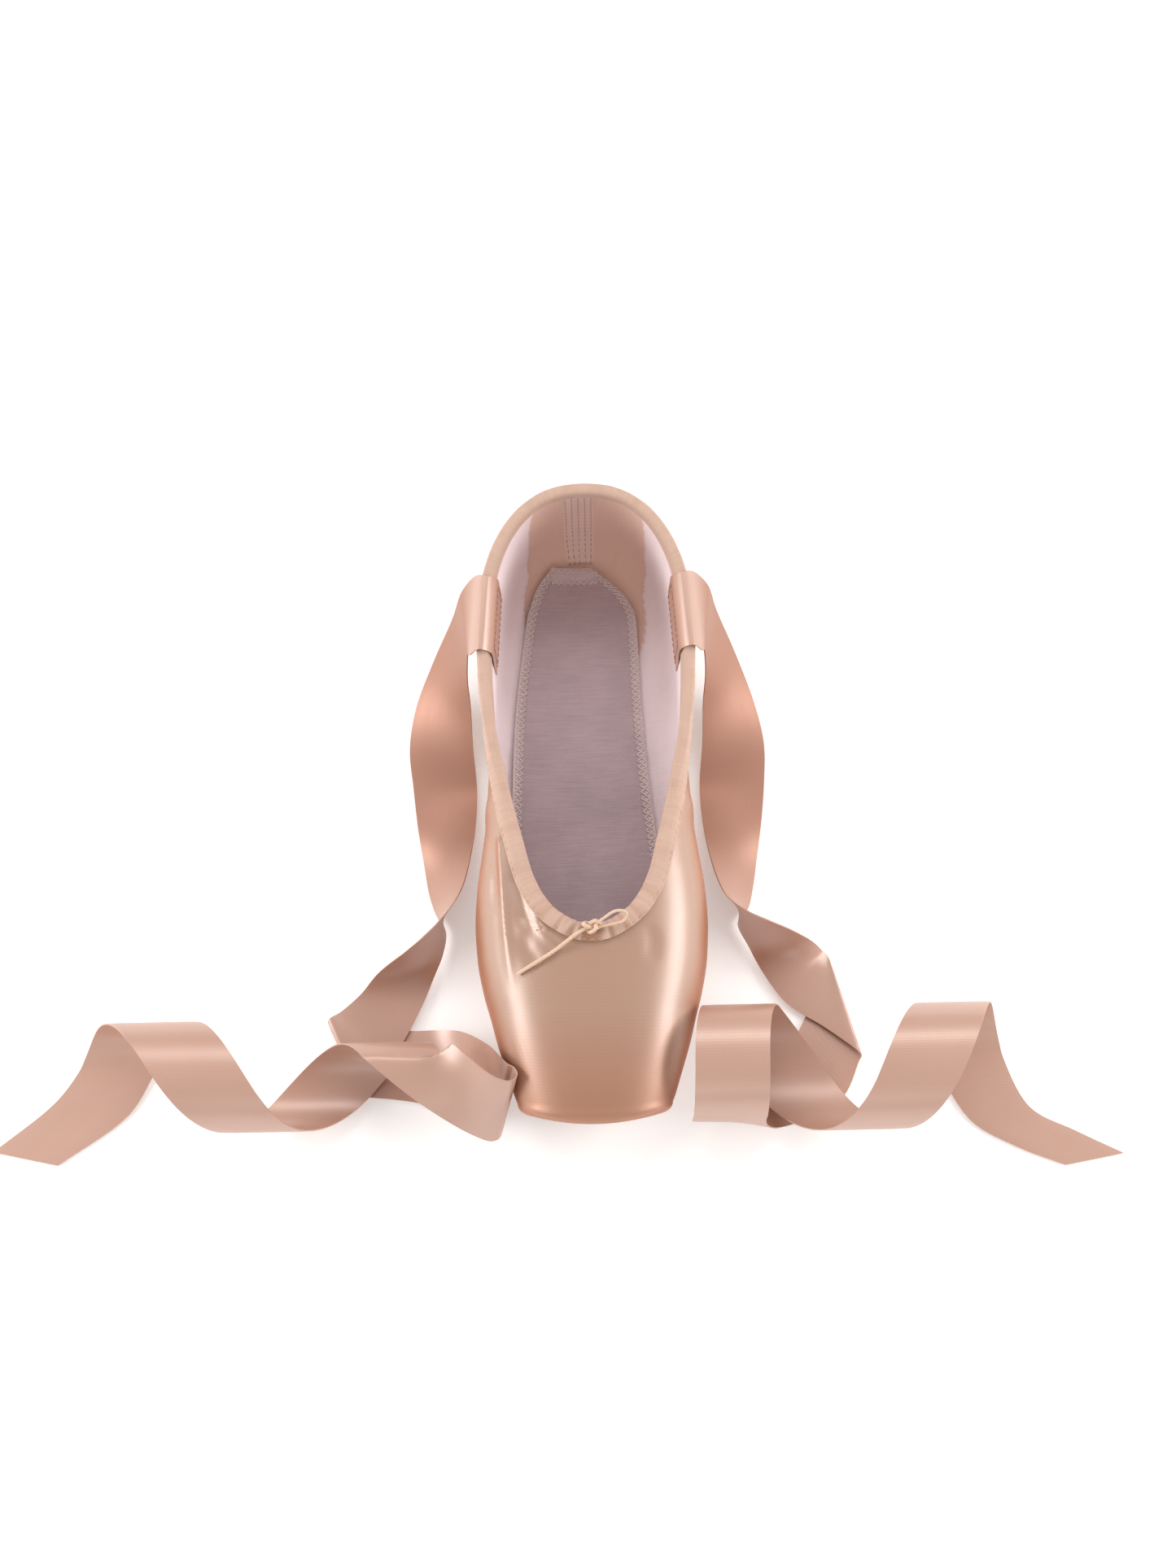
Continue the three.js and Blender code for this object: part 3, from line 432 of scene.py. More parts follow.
    def below_collar(self, u: float, distance: float) -> tuple[Point, Point]:
        """The outer skin's point and normal at a distance below the collar edge, on the right half."""
        gone, stride = 0.0, self.collar_step
        if u >= self.throat_end_y:
            v, dv = 1.0, self.level_step
            while gone < distance - TINY:
                speed = float(np.linalg.norm(self.skin(u, v) - self.skin(u, v - dv))) / dv
                v -= min(stride, distance - gone) / speed
                gone += stride
            return self.skin(u, v), self.normal(u, v)
        wx, wy = self.away(u)
        x, y, _ = self.skin(u, 1.0)
        near = self.plan_step
        while gone < distance - TINY:
            slope = (self.height(x + wx * near, y + wy * near) - self.height(x, y)) / near
            step = min(stride, distance - gone) / math.hypot(1, slope)
            x, y = x + wx * step, y + wy * step
            gone += stride
        dx = (self.height(x + near, y) - self.height(x - near, y)) / (2 * near)
        dy = (self.height(x, y + near) - self.height(x, y - near)) / (2 * near)
        return np.array([x, y, self.height(x, y)]), unit(np.array([-dx, -dy, 1.0]))

    def past_edge(self, u: float) -> Point:
        """Unit direction up the skin and on past the collar edge."""
        return unit(self.below_collar(u, 0.0)[0] - self.below_collar(u, self.collar_step)[0])

    def bed(self, x: float, y: float) -> float:
        """Height of the upper's inner face over a point of the insole."""
        g = self.girth(min(y, self.heel_centre_y))
        x, back = abs(x), max(0.0, y - self.heel_centre_y)
        k = (x - g.low[0]) / (g.wide[0] - g.low[0])
        if back:
            k = self._heel_share(x, back, g)
        k = min(1.0, max(0.0, k))
        z = g.wide[2] - (g.wide[2] - g.low[2]) * (1 - k**self.low_power) ** (1 / self.low_power)
        return z + self.wall(y) * self.wall_share + self.gap

    def _heel_share(self, x: float, back: float, g: Girth) -> float:
        """How far out a point of the heel lies between the lower opening and the widest line."""
        low, high = 0.0, 1.0
        depths = self.heel_under_y - self.heel_centre_y, self.heel_wide_y - self.heel_centre_y
        for _ in range(self.halvings):
            k = (low + high) / 2
            power = mix(*self.heel_powers[:2], k)
            reach = (x / mix(g.low[0], g.wide[0], k)) ** power + (back / mix(*depths, k)) ** power
            low, high = (k, high) if reach > 1 else (low, k)
        return (low + high) / 2


def super_cos(a: float, power: float) -> float:
    """Cosine of a superellipse of that power, in its first quarter."""
    return max(0.0, math.cos(a)) ** (2 / power)


def super_sin(a: float, power: float) -> float:
    """Sine of a superellipse of that power, in its first quarter."""
    return max(0.0, math.sin(a)) ** (2 / power)


class Weave:
    """Gathers patches of points into one mesh object."""

    def __init__(self) -> None:
        """Starts empty."""
        self.points: list[Point] = []
        self.uvs: list[Pair] = []
        self.marks: list[float] = []
        self.faces: list[tuple[list[int], int]] = []

    def grid(
        self,
        rows: Point,
        uv: Union[Point, None] = None,
        slot: int = 0,
        flip: bool = False,
        marks: Union[Point, None] = None,
        ring: bool = False,
    ) -> None:
        """Adds a patch of quads.

        Args:
            rows: points as (rows, columns, 3).
            uv: the patch's own map in metres, as (rows, columns, 2).
            slot: material slot of the patch.
            flip: turns the faces round.
            marks: one number for each point, read by the materials.
            ring: joins the last column to the first.
        """
        n, m = rows.shape[:2]
        start = len(self.points)
        self.points.extend(rows.reshape(-1, 3))
        flat_uv = np.zeros((n * m, 2)) if uv is None else uv.reshape(-1, 2) / UV_UNIT
        self.uvs.extend(map(tuple, flat_uv))
        self.marks.extend(np.zeros(n * m) if marks is None else marks.reshape(-1))
        for i in range(n - 1):
            near, far = start + i * m, start + (i + 1) * m
            for j in range(m if ring else m - 1):
                k = (j + 1) % m
                face = [near + j, far + j, far + k, near + k]
                self.faces.append((face[::-1] if flip else face, slot))

    def cap(self, ring: Point, slot: int = 0, flip: bool = False) -> None:
        """Closes a ring of points with one face."""
        start = len(self.points)
        self.points.extend(ring)
        self.uvs.extend([(0.0, 0.0)] * len(ring))
        self.marks.extend([0.0] * len(ring))
        face = list(range(start, start + len(ring)))
        self.faces.append((face[::-1] if flip else face, slot))

    def piece(
        self, name: str, materials: Sequence[bpy.types.Material], merge: float = 2e-6, sharp_deg: float = 50
    ) -> bpy.types.Object:
        """Makes the object, with its doubles merged.

        Args:
            name: the object's name.
            materials: its material slots, in order.
            merge: points nearer than this become one.
            sharp_deg: edges that turn by more than this stay sharp.

        Returns:
            The object, at the origin, in the scene.
        """
        bm = bmesh.new()
        uv_layer = bm.loops.layers.uv.new("UVMap")
        mark_layer = bm.verts.layers.float.new("mark")
        verts = [bm.verts.new(p) for p in self.points]
        for vert, mark in zip(verts, self.marks):
            vert[mark_layer] = mark
        bm.verts.index_update()
        for corners, slot in self.faces:
            face = bm.faces.new([verts[i] for i in corners])
            face.material_index = slot
            face.smooth = True
            for loop in face.loops:
                loop[uv_layer].uv = self.uvs[loop.vert.index]
        bmesh.ops.remove_doubles(bm, verts=bm.verts, dist=merge)
        bmesh.ops.dissolve_degenerate(bm, edges=bm.edges, dist=1e-7)
        mesh = bpy.data.meshes.new(name)
        bm.to_mesh(mesh)
        bm.free()
        for material in materials:
            mesh.materials.append(material)
        mesh.set_sharp_from_angle(angle=math.radians(sharp_deg))
        made = bpy.data.objects.new(name, mesh)
        bpy.context.scene.collection.objects.link(made)
        return made


def arc_uv(rows: Point, zero_column: int = 0) -> Point:
    """A map in metres over a patch: along its rows from one column, and along that column."""
    across = np.zeros(rows.shape[:2])
    across[:, 1:] = np.cumsum(np.linalg.norm(np.diff(rows, axis=1), axis=2), axis=1)
    across -= across[:, zero_column : zero_column + 1]
    along = np.zeros(rows.shape[0])
    along[1:] = np.cumsum(np.linalg.norm(np.diff(rows[:, zero_column], axis=0), axis=1))
    return np.stack([across, np.broadcast_to(along[:, None], across.shape)], axis=2)


def grid_normals(rows: Point) -> Point:
    """Unit normals of a patch, from its neighbouring points."""
    normals = np.cross(np.gradient(rows, axis=0), np.gradient(rows, axis=1))
    return normals / np.maximum(np.linalg.norm(normals, axis=2, keepdims=True), 1e-12)


def band_scale(pitch: float) -> float:
    """Scale of a band texture on a piece's own map, for bands a pitch apart."""
    return UV_UNIT * math.pi / (10 * pitch)


class Value:
    """A socket of a node tree, for use in Python expressions."""

    def __init__(self, shader: "Shader", socket: Union[bpy.types.NodeSocket, None]) -> None:
        """Wraps an output socket."""
        self.shader = shader
        self.socket = socket

    def _math(self, operation: str, left: "Operand", right: "Operand") -> "Value":
        """Adds a Math node over two operands."""
        return self.shader.node("ShaderNodeMath", {"operation": operation}, {0: left, 1: right})

    def __add__(self, other: "Operand") -> "Value":
        """Sum."""
        return self._math("ADD", self, other)

    __radd__ = __add__

    def __sub__(self, other: "Operand") -> "Value":
        """Difference."""
        return self._math("SUBTRACT", self, other)

    def __rsub__(self, other: "Operand") -> "Value":
        """Difference from a number."""
        return self._math("SUBTRACT", other, self)

    def __mul__(self, other: "Operand") -> "Value":
        """Product."""
        return self._math("MULTIPLY", self, other)

    __rmul__ = __mul__


Operand = Union[Value, float, tuple]


class Shader:
    """A material's node tree, built from expressions."""

    def __init__(self, name: str) -> None:
        """Starts a material with an empty tree."""
        self.material = bpy.data.materials.new(name)
        self.material.use_nodes = True
        self.tree = self.material.node_tree
        self.tree.nodes.clear()

    def node(self, kind: str, settings: dict, sockets: dict, out: Union[str, int] = 0) -> Value:
        """Adds a node.

        Args:
            kind: the node's type.
            settings: its properties, set first; "stops" are a colour ramp's (place, colour) pairs.
            sockets: values or links of its inputs, by name or number.
            out: the output that is returned.

        Returns:
            The output, ready for expressions.
        """
        made = self.tree.nodes.new(kind)
        for key, setting in settings.items():
            if key == "stops":
                self._stops(made.color_ramp, setting)
            else:
                setattr(made, key, setting)
        for key, value in sockets.items():
            if isinstance(value, Value):
                self.tree.links.new(value.socket, made.inputs[key])
            else:
                made.inputs[key].default_value = value
        return Value(self, made.outputs[out] if made.outputs else None)

    @staticmethod
    def _stops(ramp: bpy.types.ColorRamp, stops: Sequence[tuple[float, Colour]]) -> None:
        """Sets a colour ramp's stops."""
        while len(ramp.elements) < len(stops):
            ramp.elements.new(1.0)
        for element, (place, colour) in zip(ramp.elements, stops):
            element.position = place
            element.color = (*colour, 1.0)

    def object_place(self) -> Value:
        """Object coordinates, in metres."""
        return self.node("ShaderNodeTexCoord", {}, {}, "Object")

    def own_map(self) -> Value:
        """The piece's own map, in UV units."""
        return self.node("ShaderNodeUVMap", {"uv_map": "UVMap"}, {})

    def mark(self) -> Value:
        """The number that a piece carries at each point."""
        return self.node("ShaderNodeAttribute", {"attribute_name": "mark"}, {}, "Fac")

    def scaled(self, place: Value, factors: Triple) -> Value:
        """A place stretched along its axes."""
        return self.node("ShaderNodeVectorMath", {"operation": "MULTIPLY"}, {0: place, 1: factors})

    def noise(self, place: Value, scale: float, detail: float = 3.0, roughness: float = 0.55) -> Value:
        """Soft noise around one half."""
        sockets = {"Vector": place, "Scale": scale, "Detail": detail, "Roughness": roughness}
        return self.node("ShaderNodeTexNoise", {}, sockets)

    def ribs(self, place: Value, axis: str, scale: float, wander: float = 0.0) -> Value:
        """Parallel ribs across one axis, from 0 to 1."""
        settings = {"wave_type": "BANDS", "bands_direction": axis, "wave_profile": "SIN"}
        sockets = {"Vector": place, "Scale": scale, "Distortion": wander, "Detail": 1.0}
        return self.node("ShaderNodeTexWave", settings, sockets, "Fac")

    def blend(self, factor: Operand, start: Operand, end: Operand) -> Value:
        """A colour between two colours."""
        start, end = ((*c, 1.0) if isinstance(c, tuple) else c for c in (start, end))
        return self.node("ShaderNodeMix", {"data_type": "RGBA"}, {0: factor, 6: start, 7: end}, 2)

    def tones(self, factor: Value, stops: Sequence[tuple[float, Colour]]) -> Value:
        """A colour ramp."""
        return self.node("ShaderNodeValToRGB", {"stops": stops}, {"Fac": factor})

    def bump(self, height: Value, distance: float, strength: float = 1.0) -> Value:
        """A normal from a height from 0 to 1 that stands for a distance."""
        return self.node("ShaderNodeBump", {}, {"Strength": strength, "Distance": distance, "Height": height})

    def finish(self, sockets: dict) -> bpy.types.Material:
        """Closes the tree with one Principled surface."""
        surface = self.node("ShaderNodeBsdfPrincipled", {}, sockets)
        self.node("ShaderNodeOutputMaterial", {}, {"Surface": surface})
        return self.material


@dataclass(frozen=True)
class Satin:
    """Warp-faced satin: long smooth threads, fine cross ribs and a darker tone of painted shade where the
    piece is marked.
    """

    name: str
    colour: Colour
    deep: Colour
    # marked is the colour of the painted shade; marked places also grow rougher and more metallic.
    marked: Colour
    roughness: float
    metallic: float
    gloss: float = 0.8
    ior: float = 1.8
    rib_pitch: float = 0.0010
    rib_height: float = 0.000014
    marked_dull: float = 0.16
    marked_metallic: float = 0.42
    drift_scale: float = 9.0
    streak_stretch: Triple = (700.0, 12.0, 1.0)
    tone_shares: Triple = (0.55, 0.25, 0.20)
    spread: float = 0.14
    bump_shares: Pair = (0.55, 0.45)

    def material(self) -> bpy.types.Material:
        """Builds the finish on the piece's own map."""
        s = Shader(self.name)
        place = s.own_map()
        drift = s.noise(place, self.drift_scale, 3.0)
        streak = s.noise(s.scaled(place, self.streak_stretch), 1.0, 3.0)
        rib = s.ribs(place, "Y", band_scale(self.rib_pitch), 1.5)
        of_drift, of_streak, of_rib = self.tone_shares
        cloth = s.blend(drift * of_drift + streak * of_streak + rib * of_rib, self.deep, self.colour)
        mark = s.mark()
        rib_bump, streak_bump = self.bump_shares
        rough = self.roughness - self.spread / 2 + streak * self.spread
        return s.finish(
            {
                # The marked colour is painted shade, laid in where the mark is high.
                "Base Color": s.blend(mark, cloth, self.marked),
                "Roughness": rough + mark * self.marked_dull,
                "Metallic": self.metallic + mark * self.marked_metallic,
                "IOR": self.ior,
                "Specular IOR Level": self.gloss,
                "Sheen Weight": 0.05,
                "Sheen Roughness": 0.5,
                "Sheen Tint": (1.0, 0.86, 0.78, 1.0),
                "Normal": s.bump(rib * rib_bump + streak * streak_bump, self.rib_height),
            }
        )


@dataclass(frozen=True)
class Cotton:
    """Plain woven cotton, with a second colour where the piece is marked; on the binding that colour is
    painted shade in its gathers.
    """

    name: str
    colour: Colour
    marked: Colour
    pitch: float
    height: float
    contrast: float = 0.18
    across: float = 1.0
    wander: float = 0.8
    patch_scale: float = 14.0
    slub_stretch: Triple = (20.0, 420.0, 1.0)
    shade_shares: Triple = (0.30, 0.60, 0.70)

    def material(self) -> bpy.types.Material:
        """Builds the weave on the piece's own map."""
        s = Shader(self.name)
        place = s.own_map()
        turns = band_scale(self.pitch)
        warp = s.ribs(place, "X", turns * self.across, self.wander)
        weft = s.ribs(place, "Y", turns, self.wander)
        cloth = warp * weft + (1 - warp) * (1 - weft)
        patch = s.noise(place, self.patch_scale, 4.0)
        slub = s.noise(s.scaled(place, self.slub_stretch), 1.0, 2.0)
        ground = s.blend(s.mark(), self.colour, self.marked)
        of_cloth, of_patch, of_slub = self.shade_shares
        uneven = cloth * of_cloth + patch * of_patch + slub * of_slub
        shade = (1 - self.contrast) + uneven * self.contrast
        grey = s.node("ShaderNodeCombineColor", {}, {0: shade, 1: shade, 2: shade})
        tint = {"data_type": "RGBA", "blend_type": "MULTIPLY"}
        return s.finish(
            {
                "Base Color": s.node("ShaderNodeMix", tint, {0: 1.0, 6: ground, 7: grey}, 2),
                "Roughness": 0.82 + slub * 0.12,
                "Specular IOR Level": 0.25,
                "Sheen Weight": 0.2,
                "Sheen Roughness": 0.5,
                "Normal": s.bump(cloth * 0.6 + slub * 0.4, self.height),
            }
        )


@dataclass(frozen=True)
class Suede:
    """Buffed sole leather with a short nap and darker, smoother rubbed places."""

    name: str
    colour: Colour
    rubbed: Colour

    def material(self) -> bpy.types.Material:
        """Builds the nap on object coordinates."""
        s = Shader(self.name)
        place = s.object_place()
        nap = s.noise(place, 900.0, 4.0, 0.7)
        cloud = s.noise(place, 30.0, 3.0)
        worn = s.tones(cloud, ((0.40, (0.0, 0.0, 0.0)), (0.68, (1.0, 1.0, 1.0))))
        colour = s.blend(worn, s.blend(nap, self.rubbed, self.colour), self.colour)
        return s.finish(
            {
                "Base Color": colour,
                "Roughness": 0.72 + nap * 0.2,
                "Specular IOR Level": 0.3,
                "Sheen Weight": 0.3,
                "Normal": s.bump(nap, 0.00012),
            }
        )


@dataclass(frozen=True)
class Thread:
    """Spun thread or cord with a soft fuzz."""

    name: str
    colour: Colour
    deep: Colour

    def material(self) -> bpy.types.Material:
        """Builds the fuzz on object coordinates."""
        s = Shader(self.name)
        place = s.object_place()
        fuzz = s.noise(place, 1400.0, 3.0)
        return s.finish(
            {
                "Base Color": s.blend(fuzz, self.deep, self.colour),
                "Roughness": 0.7 + fuzz * 0.2,
                "Specular IOR Level": 0.3,
                "Sheen Weight": 0.3,
                "Normal": s.bump(fuzz, 0.00005),
            }
        )


@dataclass(frozen=True)
class PaleFloor:
    """A plain matt studio floor."""

    name: str
    colour: Colour
    glow: float = 0.30

    def material(self) -> bpy.types.Material:
        """Builds a faintly uneven matt white."""
        s = Shader(self.name)
        drift = s.noise(s.object_place(), 3.0, 2.0)
        return s.finish(
            {
                "Base Color": s.blend(drift, tuple(c * 0.985 for c in self.colour), self.colour),
                "Roughness": 0.9,
                "Specular IOR Level": 0.1,
                "Emission Color": (1.0, 0.99, 0.98, 1.0),
                "Emission Strength": self.glow,
            }
        )


# Colour of the painted shade on the ribbons' falls.
RIBBON_SHADE = (0.40, 0.175, 0.105)


@dataclass(frozen=True)
class Finishes:
    """Every finish of the shoe, made once."""

    satin: bpy.types.Material
    lining: bpy.types.Material
    binding: bpy.types.Material
    insole: bpy.types.Material
    leather: bpy.types.Material
    ribbon: bpy.types.Material
    ribbon_back: bpy.types.Material
    cord: bpy.types.Material
    thread: bpy.types.Material
    sole_thread: bpy.types.Material
    tab_thread_and_shadow: bpy.types.Material

    @classmethod
    def make(cls) -> "Finishes":
        """Builds the materials."""
        return cls(**{name: finish.material() for name, finish in FINISHES.items()})


FINISHES = {
    # The satin's third colour is painted shade for the upper's steep sides and toe end.
    "satin": Satin("rose_satin", (0.48, 0.275, 0.185), (0.41, 0.22, 0.14), (0.45, 0.165, 0.075), 0.37, 0.10),
    "lining": Cotton("cotton_lining", (0.93, 0.79, 0.80), (0.82, 0.575, 0.47), 0.0009, 0.00004),
    # The binding's second colour is painted shade in the troughs of its gathers.
    "binding": Cotton("binding_tape", (0.64, 0.43, 0.335), (0.47, 0.25, 0.16), 0.0008, 0.00007, 0.34),
    "insole": Cotton("sock_weave", (0.53, 0.41, 0.43), (0.70, 0.58, 0.58), 0.0011, 0.00010, 0.50),
    "leather": Suede("sole_suede", (0.56, 0.39, 0.27), (0.42, 0.28, 0.19)),
    "ribbon": Satin("ribbon_satin", (0.59, 0.345, 0.255), (0.52, 0.285, 0.205), RIBBON_SHADE, 0.36, 0.10),
    "ribbon_back": Satin("ribbon_back", (0.57, 0.325, 0.24), (0.50, 0.27, 0.19), RIBBON_SHADE, 0.39, 0.09),
    "cord": Thread("cotton_cord", (0.84, 0.62, 0.46), (0.68, 0.46, 0.33)),
    "thread": Thread("lining_thread", (0.80, 0.68, 0.66), (0.66, 0.53, 0.51)),
    "sole_thread": Thread("tape_thread", (0.70, 0.46, 0.33), (0.56, 0.34, 0.24)),
    # The sewn ends' thread is dark partly as its own colour and partly as painted shadow along the ribbons'
    # sewn ends.
    "tab_thread_and_shadow": Thread("tab_thread_and_shadow", (0.42, 0.20, 0.14), (0.32, 0.14, 0.10)),
}


class StitchRun(NamedTuple):
    """A line of stitches: points, the surface's normals there, and whether the line closes."""

    points: Point
    normals: Point
    closed: bool = False


class StitchSize(NamedTuple):
    """A kind of stitch: its spacing, its own length and thickness, and how far it turns from the line."""

    spacing: float
    length: float
    thickness: float
    zigzag_deg: float = 0.0


PLAIN_STITCH = StitchSize(0.0024, 0.0018, 0.00045)
HEM_STITCH = StitchSize(0.0026, 0.0017, 0.0003)
SOLE_STITCH = StitchSize(0.0042, 0.0030, 0.0004)
OVERLOCK = StitchSize(0.0012, 0.0027, 0.0006, 52.0)


@dataclass
class Stitches:
    """Stitches laid along lines on a surface, by one node tree."""

    name: str
    size: StitchSize
    material: bpy.types.Material

    def _tree(self) -> tuple[bpy.types.GeometryNodeTree, dict[str, str]]:
        """Builds the tree that sets a stitch at each step of a line.

        Returns:
            The tree, and the identifiers of its inputs by name.
        """
        tree = bpy.data.node_groups.new(self.name, "GeometryNodeTree")
        face = tree.interface
        ids = {}
        face.new_socket("Geometry", in_out="INPUT", socket_type="NodeSocketGeometry")
        for label in ("Spacing", "Length", "Thickness", "Zigzag"):
            ids[label] = face.new_socket(label, in_out="INPUT", socket_type="NodeSocketFloat").identifier
        face.new_socket("Geometry", in_out="OUTPUT", socket_type="NodeSocketGeometry")

        def add(kind: str, links: dict, **settings: str) -> Union[bpy.types.NodeSocket, None]:
            """Adds a node, with its settings first and then its values or links."""
            made = tree.nodes.new(kind)
            for key, setting in settings.items():
                setattr(made, key, setting)
            for key, value in links.items():
                if isinstance(value, bpy.types.NodeSocket):
                    tree.links.new(value, made.inputs[key])
                else:
                    made.inputs[key].default_value = value
            return made.outputs[0] if made.outputs else None

        given = tree.nodes.new("NodeGroupInput").outputs
        line = add("GeometryNodeMeshToCurve", {0: given["Geometry"]})
        steps = {"Curve": line, "Length": given["Spacing"]}
        even = add("GeometryNodeResampleCurve", steps, mode="LENGTH")
        tangent = add("GeometryNodeInputTangent", {})
        up = add("GeometryNodeInputNamedAttribute", {"Name": "up"}, data_type="FLOAT_VECTOR")
        axes = {"primary_axis": "X", "secondary_axis": "Z"}
        laid = add("FunctionNodeAxesToRotation", {0: tangent, 1: up}, **axes)
        index = add("GeometryNodeInputIndex", {})
        odd = add("ShaderNodeMath", {0: index, 1: 2.0}, operation="MODULO")
        sign = add("ShaderNodeMath", {0: odd, 1: 2.0, 2: -1.0}, operation="MULTIPLY_ADD")
        angle = add("ShaderNodeMath", {0: sign, 1: given["Zigzag"]}, operation="MULTIPLY")
        swing = add("ShaderNodeCombineXYZ", {"Z": angle})
        turned = add("FunctionNodeRotateRotation", {0: laid, 1: swing}, rotation_space="LOCAL")
        bead = add("GeometryNodeMeshUVSphere", {"Segments": 6, "Rings": 4, "Radius": 0.5})
        thick = given["Thickness"]
        size = add("ShaderNodeCombineXYZ", {0: given["Length"], 1: thick, 2: thick})
        stitch = add("GeometryNodeTransform", {"Geometry": bead, "Scale": size})
        laying = {"Points": even, "Instance": stitch, "Rotation": turned}
        placed = add("GeometryNodeInstanceOnPoints", laying)
        solid = add("GeometryNodeRealizeInstances", {0: placed})
        smoothed = add("GeometryNodeSetShadeSmooth", {0: solid})
        dressed = add("GeometryNodeSetMaterial", {"Geometry": smoothed, "Material": self.material})
        add("NodeGroupOutput", {0: dressed})
        return tree, ids

    def build(self, runs: Sequence[StitchRun]) -> bpy.types.Object:
        """Sews every run.

        Args:
            runs: the lines to follow.

        Returns:
            One mesh object with every stitch.
        """
        points, edges, ups = [], [], []
        for run in runs:
            start = len(points)
            points.extend(map(tuple, run.points))
            ups.extend(run.normals.reshape(-1).tolist())
            count = len(run.points)
            edges.extend((start + i, start + i + 1) for i in range(count - 1))
            if run.closed:
                edges.append((start + count - 1, start))
        mesh = bpy.data.meshes.new(self.name)
        mesh.from_pydata(points, edges, [])
        mesh.attributes.new("up", "FLOAT_VECTOR", "POINT").data.foreach_set("vector", ups)
        made = bpy.data.objects.new(self.name, mesh)
        bpy.context.scene.collection.objects.link(made)
        tree, ids = self._tree()
        sewn = made.modifiers.new("stitches", "NODES")
        sewn.node_group = tree
        sewn[ids["Spacing"]] = self.size.spacing
        sewn[ids["Length"]] = self.size.length
        sewn[ids["Thickness"]] = self.size.thickness
        sewn[ids["Zigzag"]] = math.radians(self.size.zigzag_deg)
        seen = made.evaluated_get(bpy.context.evaluated_depsgraph_get())
        plain = bpy.data.meshes.new_from_object(seen)
        made.modifiers.clear()
        made.data = plain
        plain.name = self.name
        return made


@dataclass(frozen=True)
class Crease:
    """A soft ridge, or a trough where its height is negative, along a line on the skin."""

    line: tuple[Triple, ...]
    height: float
    width: float
    fade: Fade = Fade.BOTH
    run_out: float = 0.3

    def lift(self, points: Point) -> Point:
        """How far each point stands out.

        Args:
            points: points of the skin, as (count, 3).

        Returns:
            A distance for each point.
        """
        line = np.asarray(self.line)
        best = np.full(len(points), np.inf)
        share = np.zeros(len(points))
        for k, (a, b) in enumerate(zip(line, line[1:])):
            along = b - a
            t = np.clip((points - a) @ along / (along @ along), 0, 1)
            gap = np.linalg.norm(points - (a + t[:, None] * along), axis=1)
            share = np.where(gap < best, (k + t) / (len(line) - 1), share)
            best = np.minimum(gap, best)
        taper = np.ones(len(points))
        if self.fade in (Fade.START, Fade.BOTH):
            taper *= np.clip(share / self.run_out, 0, 1)
        if self.fade in (Fade.END, Fade.BOTH):
            taper *= np.clip((1 - share) / self.run_out, 0, 1)
        return self.height * np.exp(-((best / self.width) ** 2)) * taper


class CounterRow(NamedTuple):
    """The heel lining's front edge inside the shoe: its height, and its Y on either side."""

    z: float
    left: float
    right: float


COUNTER = rows_of(
    CounterRow,
    (0.0050, 0.070, 0.066),
    (0.0080, 0.087, 0.090),
    (0.0110, 0.098, 0.095),
    (0.0200, 0.1034, 0.1008),
    (0.0480, 0.1047, 0.1017),
    (0.0580, 0.1050, 0.1015),
)


VAMP_RIDGE = (
    (-0.0306, -0.0190), (-0.0299, -0.0310), (-0.0293, -0.0420), (-0.0284, -0.0540), (-0.0268, -0.0700),
)
VAMP_HOLLOW = ((-0.0268, -0.0250), (-0.0250, -0.0350), (-0.0224, -0.0465), (-0.0185, -0.0545))
WING_DROP = ((-0.0336, -0.0170), (-0.0331, -0.0310), (-0.0324, -0.0450))
THROAT_PULL = ((-0.0196, -0.0475), (-0.0160, -0.0530), (-0.0118, -0.0585))
THROAT_NIP = ((-0.0128, -0.0545), (-0.0108, -0.0590), (-0.0092, -0.0650))
THROAT_DENT = ((-0.0238, -0.0520), (-0.0212, -0.0590), (-0.0165, -0.0645))
RIGHT_DENT = ((0.0180, -0.0500), (0.0200, -0.0560), (0.0190, -0.0640))
QUARTER_SEAM = ((0.002, 1.0), (0.008, 0.4), (0.012, 0.0), (0.012, -0.9))
WING_FOLD = ((-0.006, 0.75), (-0.004, 0.2), (-0.010, -0.4))
WAIST_DENT = ((0.026, 0.7), (0.034, 0.1), (0.030, -0.5))
HEEL_DENT = ((0.072, 0.3), (0.094, -0.1), (0.112, -0.2))
BACK_SEAM_LEVELS = (1.0, 0.5, 0.0, -0.5, -0.95)
VAMP_CREASES = (
    (VAMP_RIDGE, 0.0011, 0.0015, Fade.END),
    (VAMP_HOLLOW, -0.0012, 0.0024, Fade.BOTH),
    (WING_DROP, -0.0006, 0.0024, Fade.BOTH),
    (THROAT_PULL, 0.0009, 0.0013, Fade.BOTH),
    (THROAT_NIP, 0.0007, 0.0011, Fade.BOTH),
    (THROAT_DENT, -0.0008, 0.0026, Fade.BOTH),
    (RIGHT_DENT, -0.0005, 0.0024, Fade.BOTH),
)
SIDE_CREASES = (
    (QUARTER_SEAM, -0.0007, 0.0009, Fade.NONE),
    (WING_FOLD, 0.0006, 0.0035, Fade.BOTH),
    (WAIST_DENT, -0.0008, 0.0045, Fade.BOTH),
    (HEEL_DENT, -0.0006, 0.0035, Fade.BOTH),
)
BACK_SEAM = (-0.0006, 0.0008, Fade.NONE)


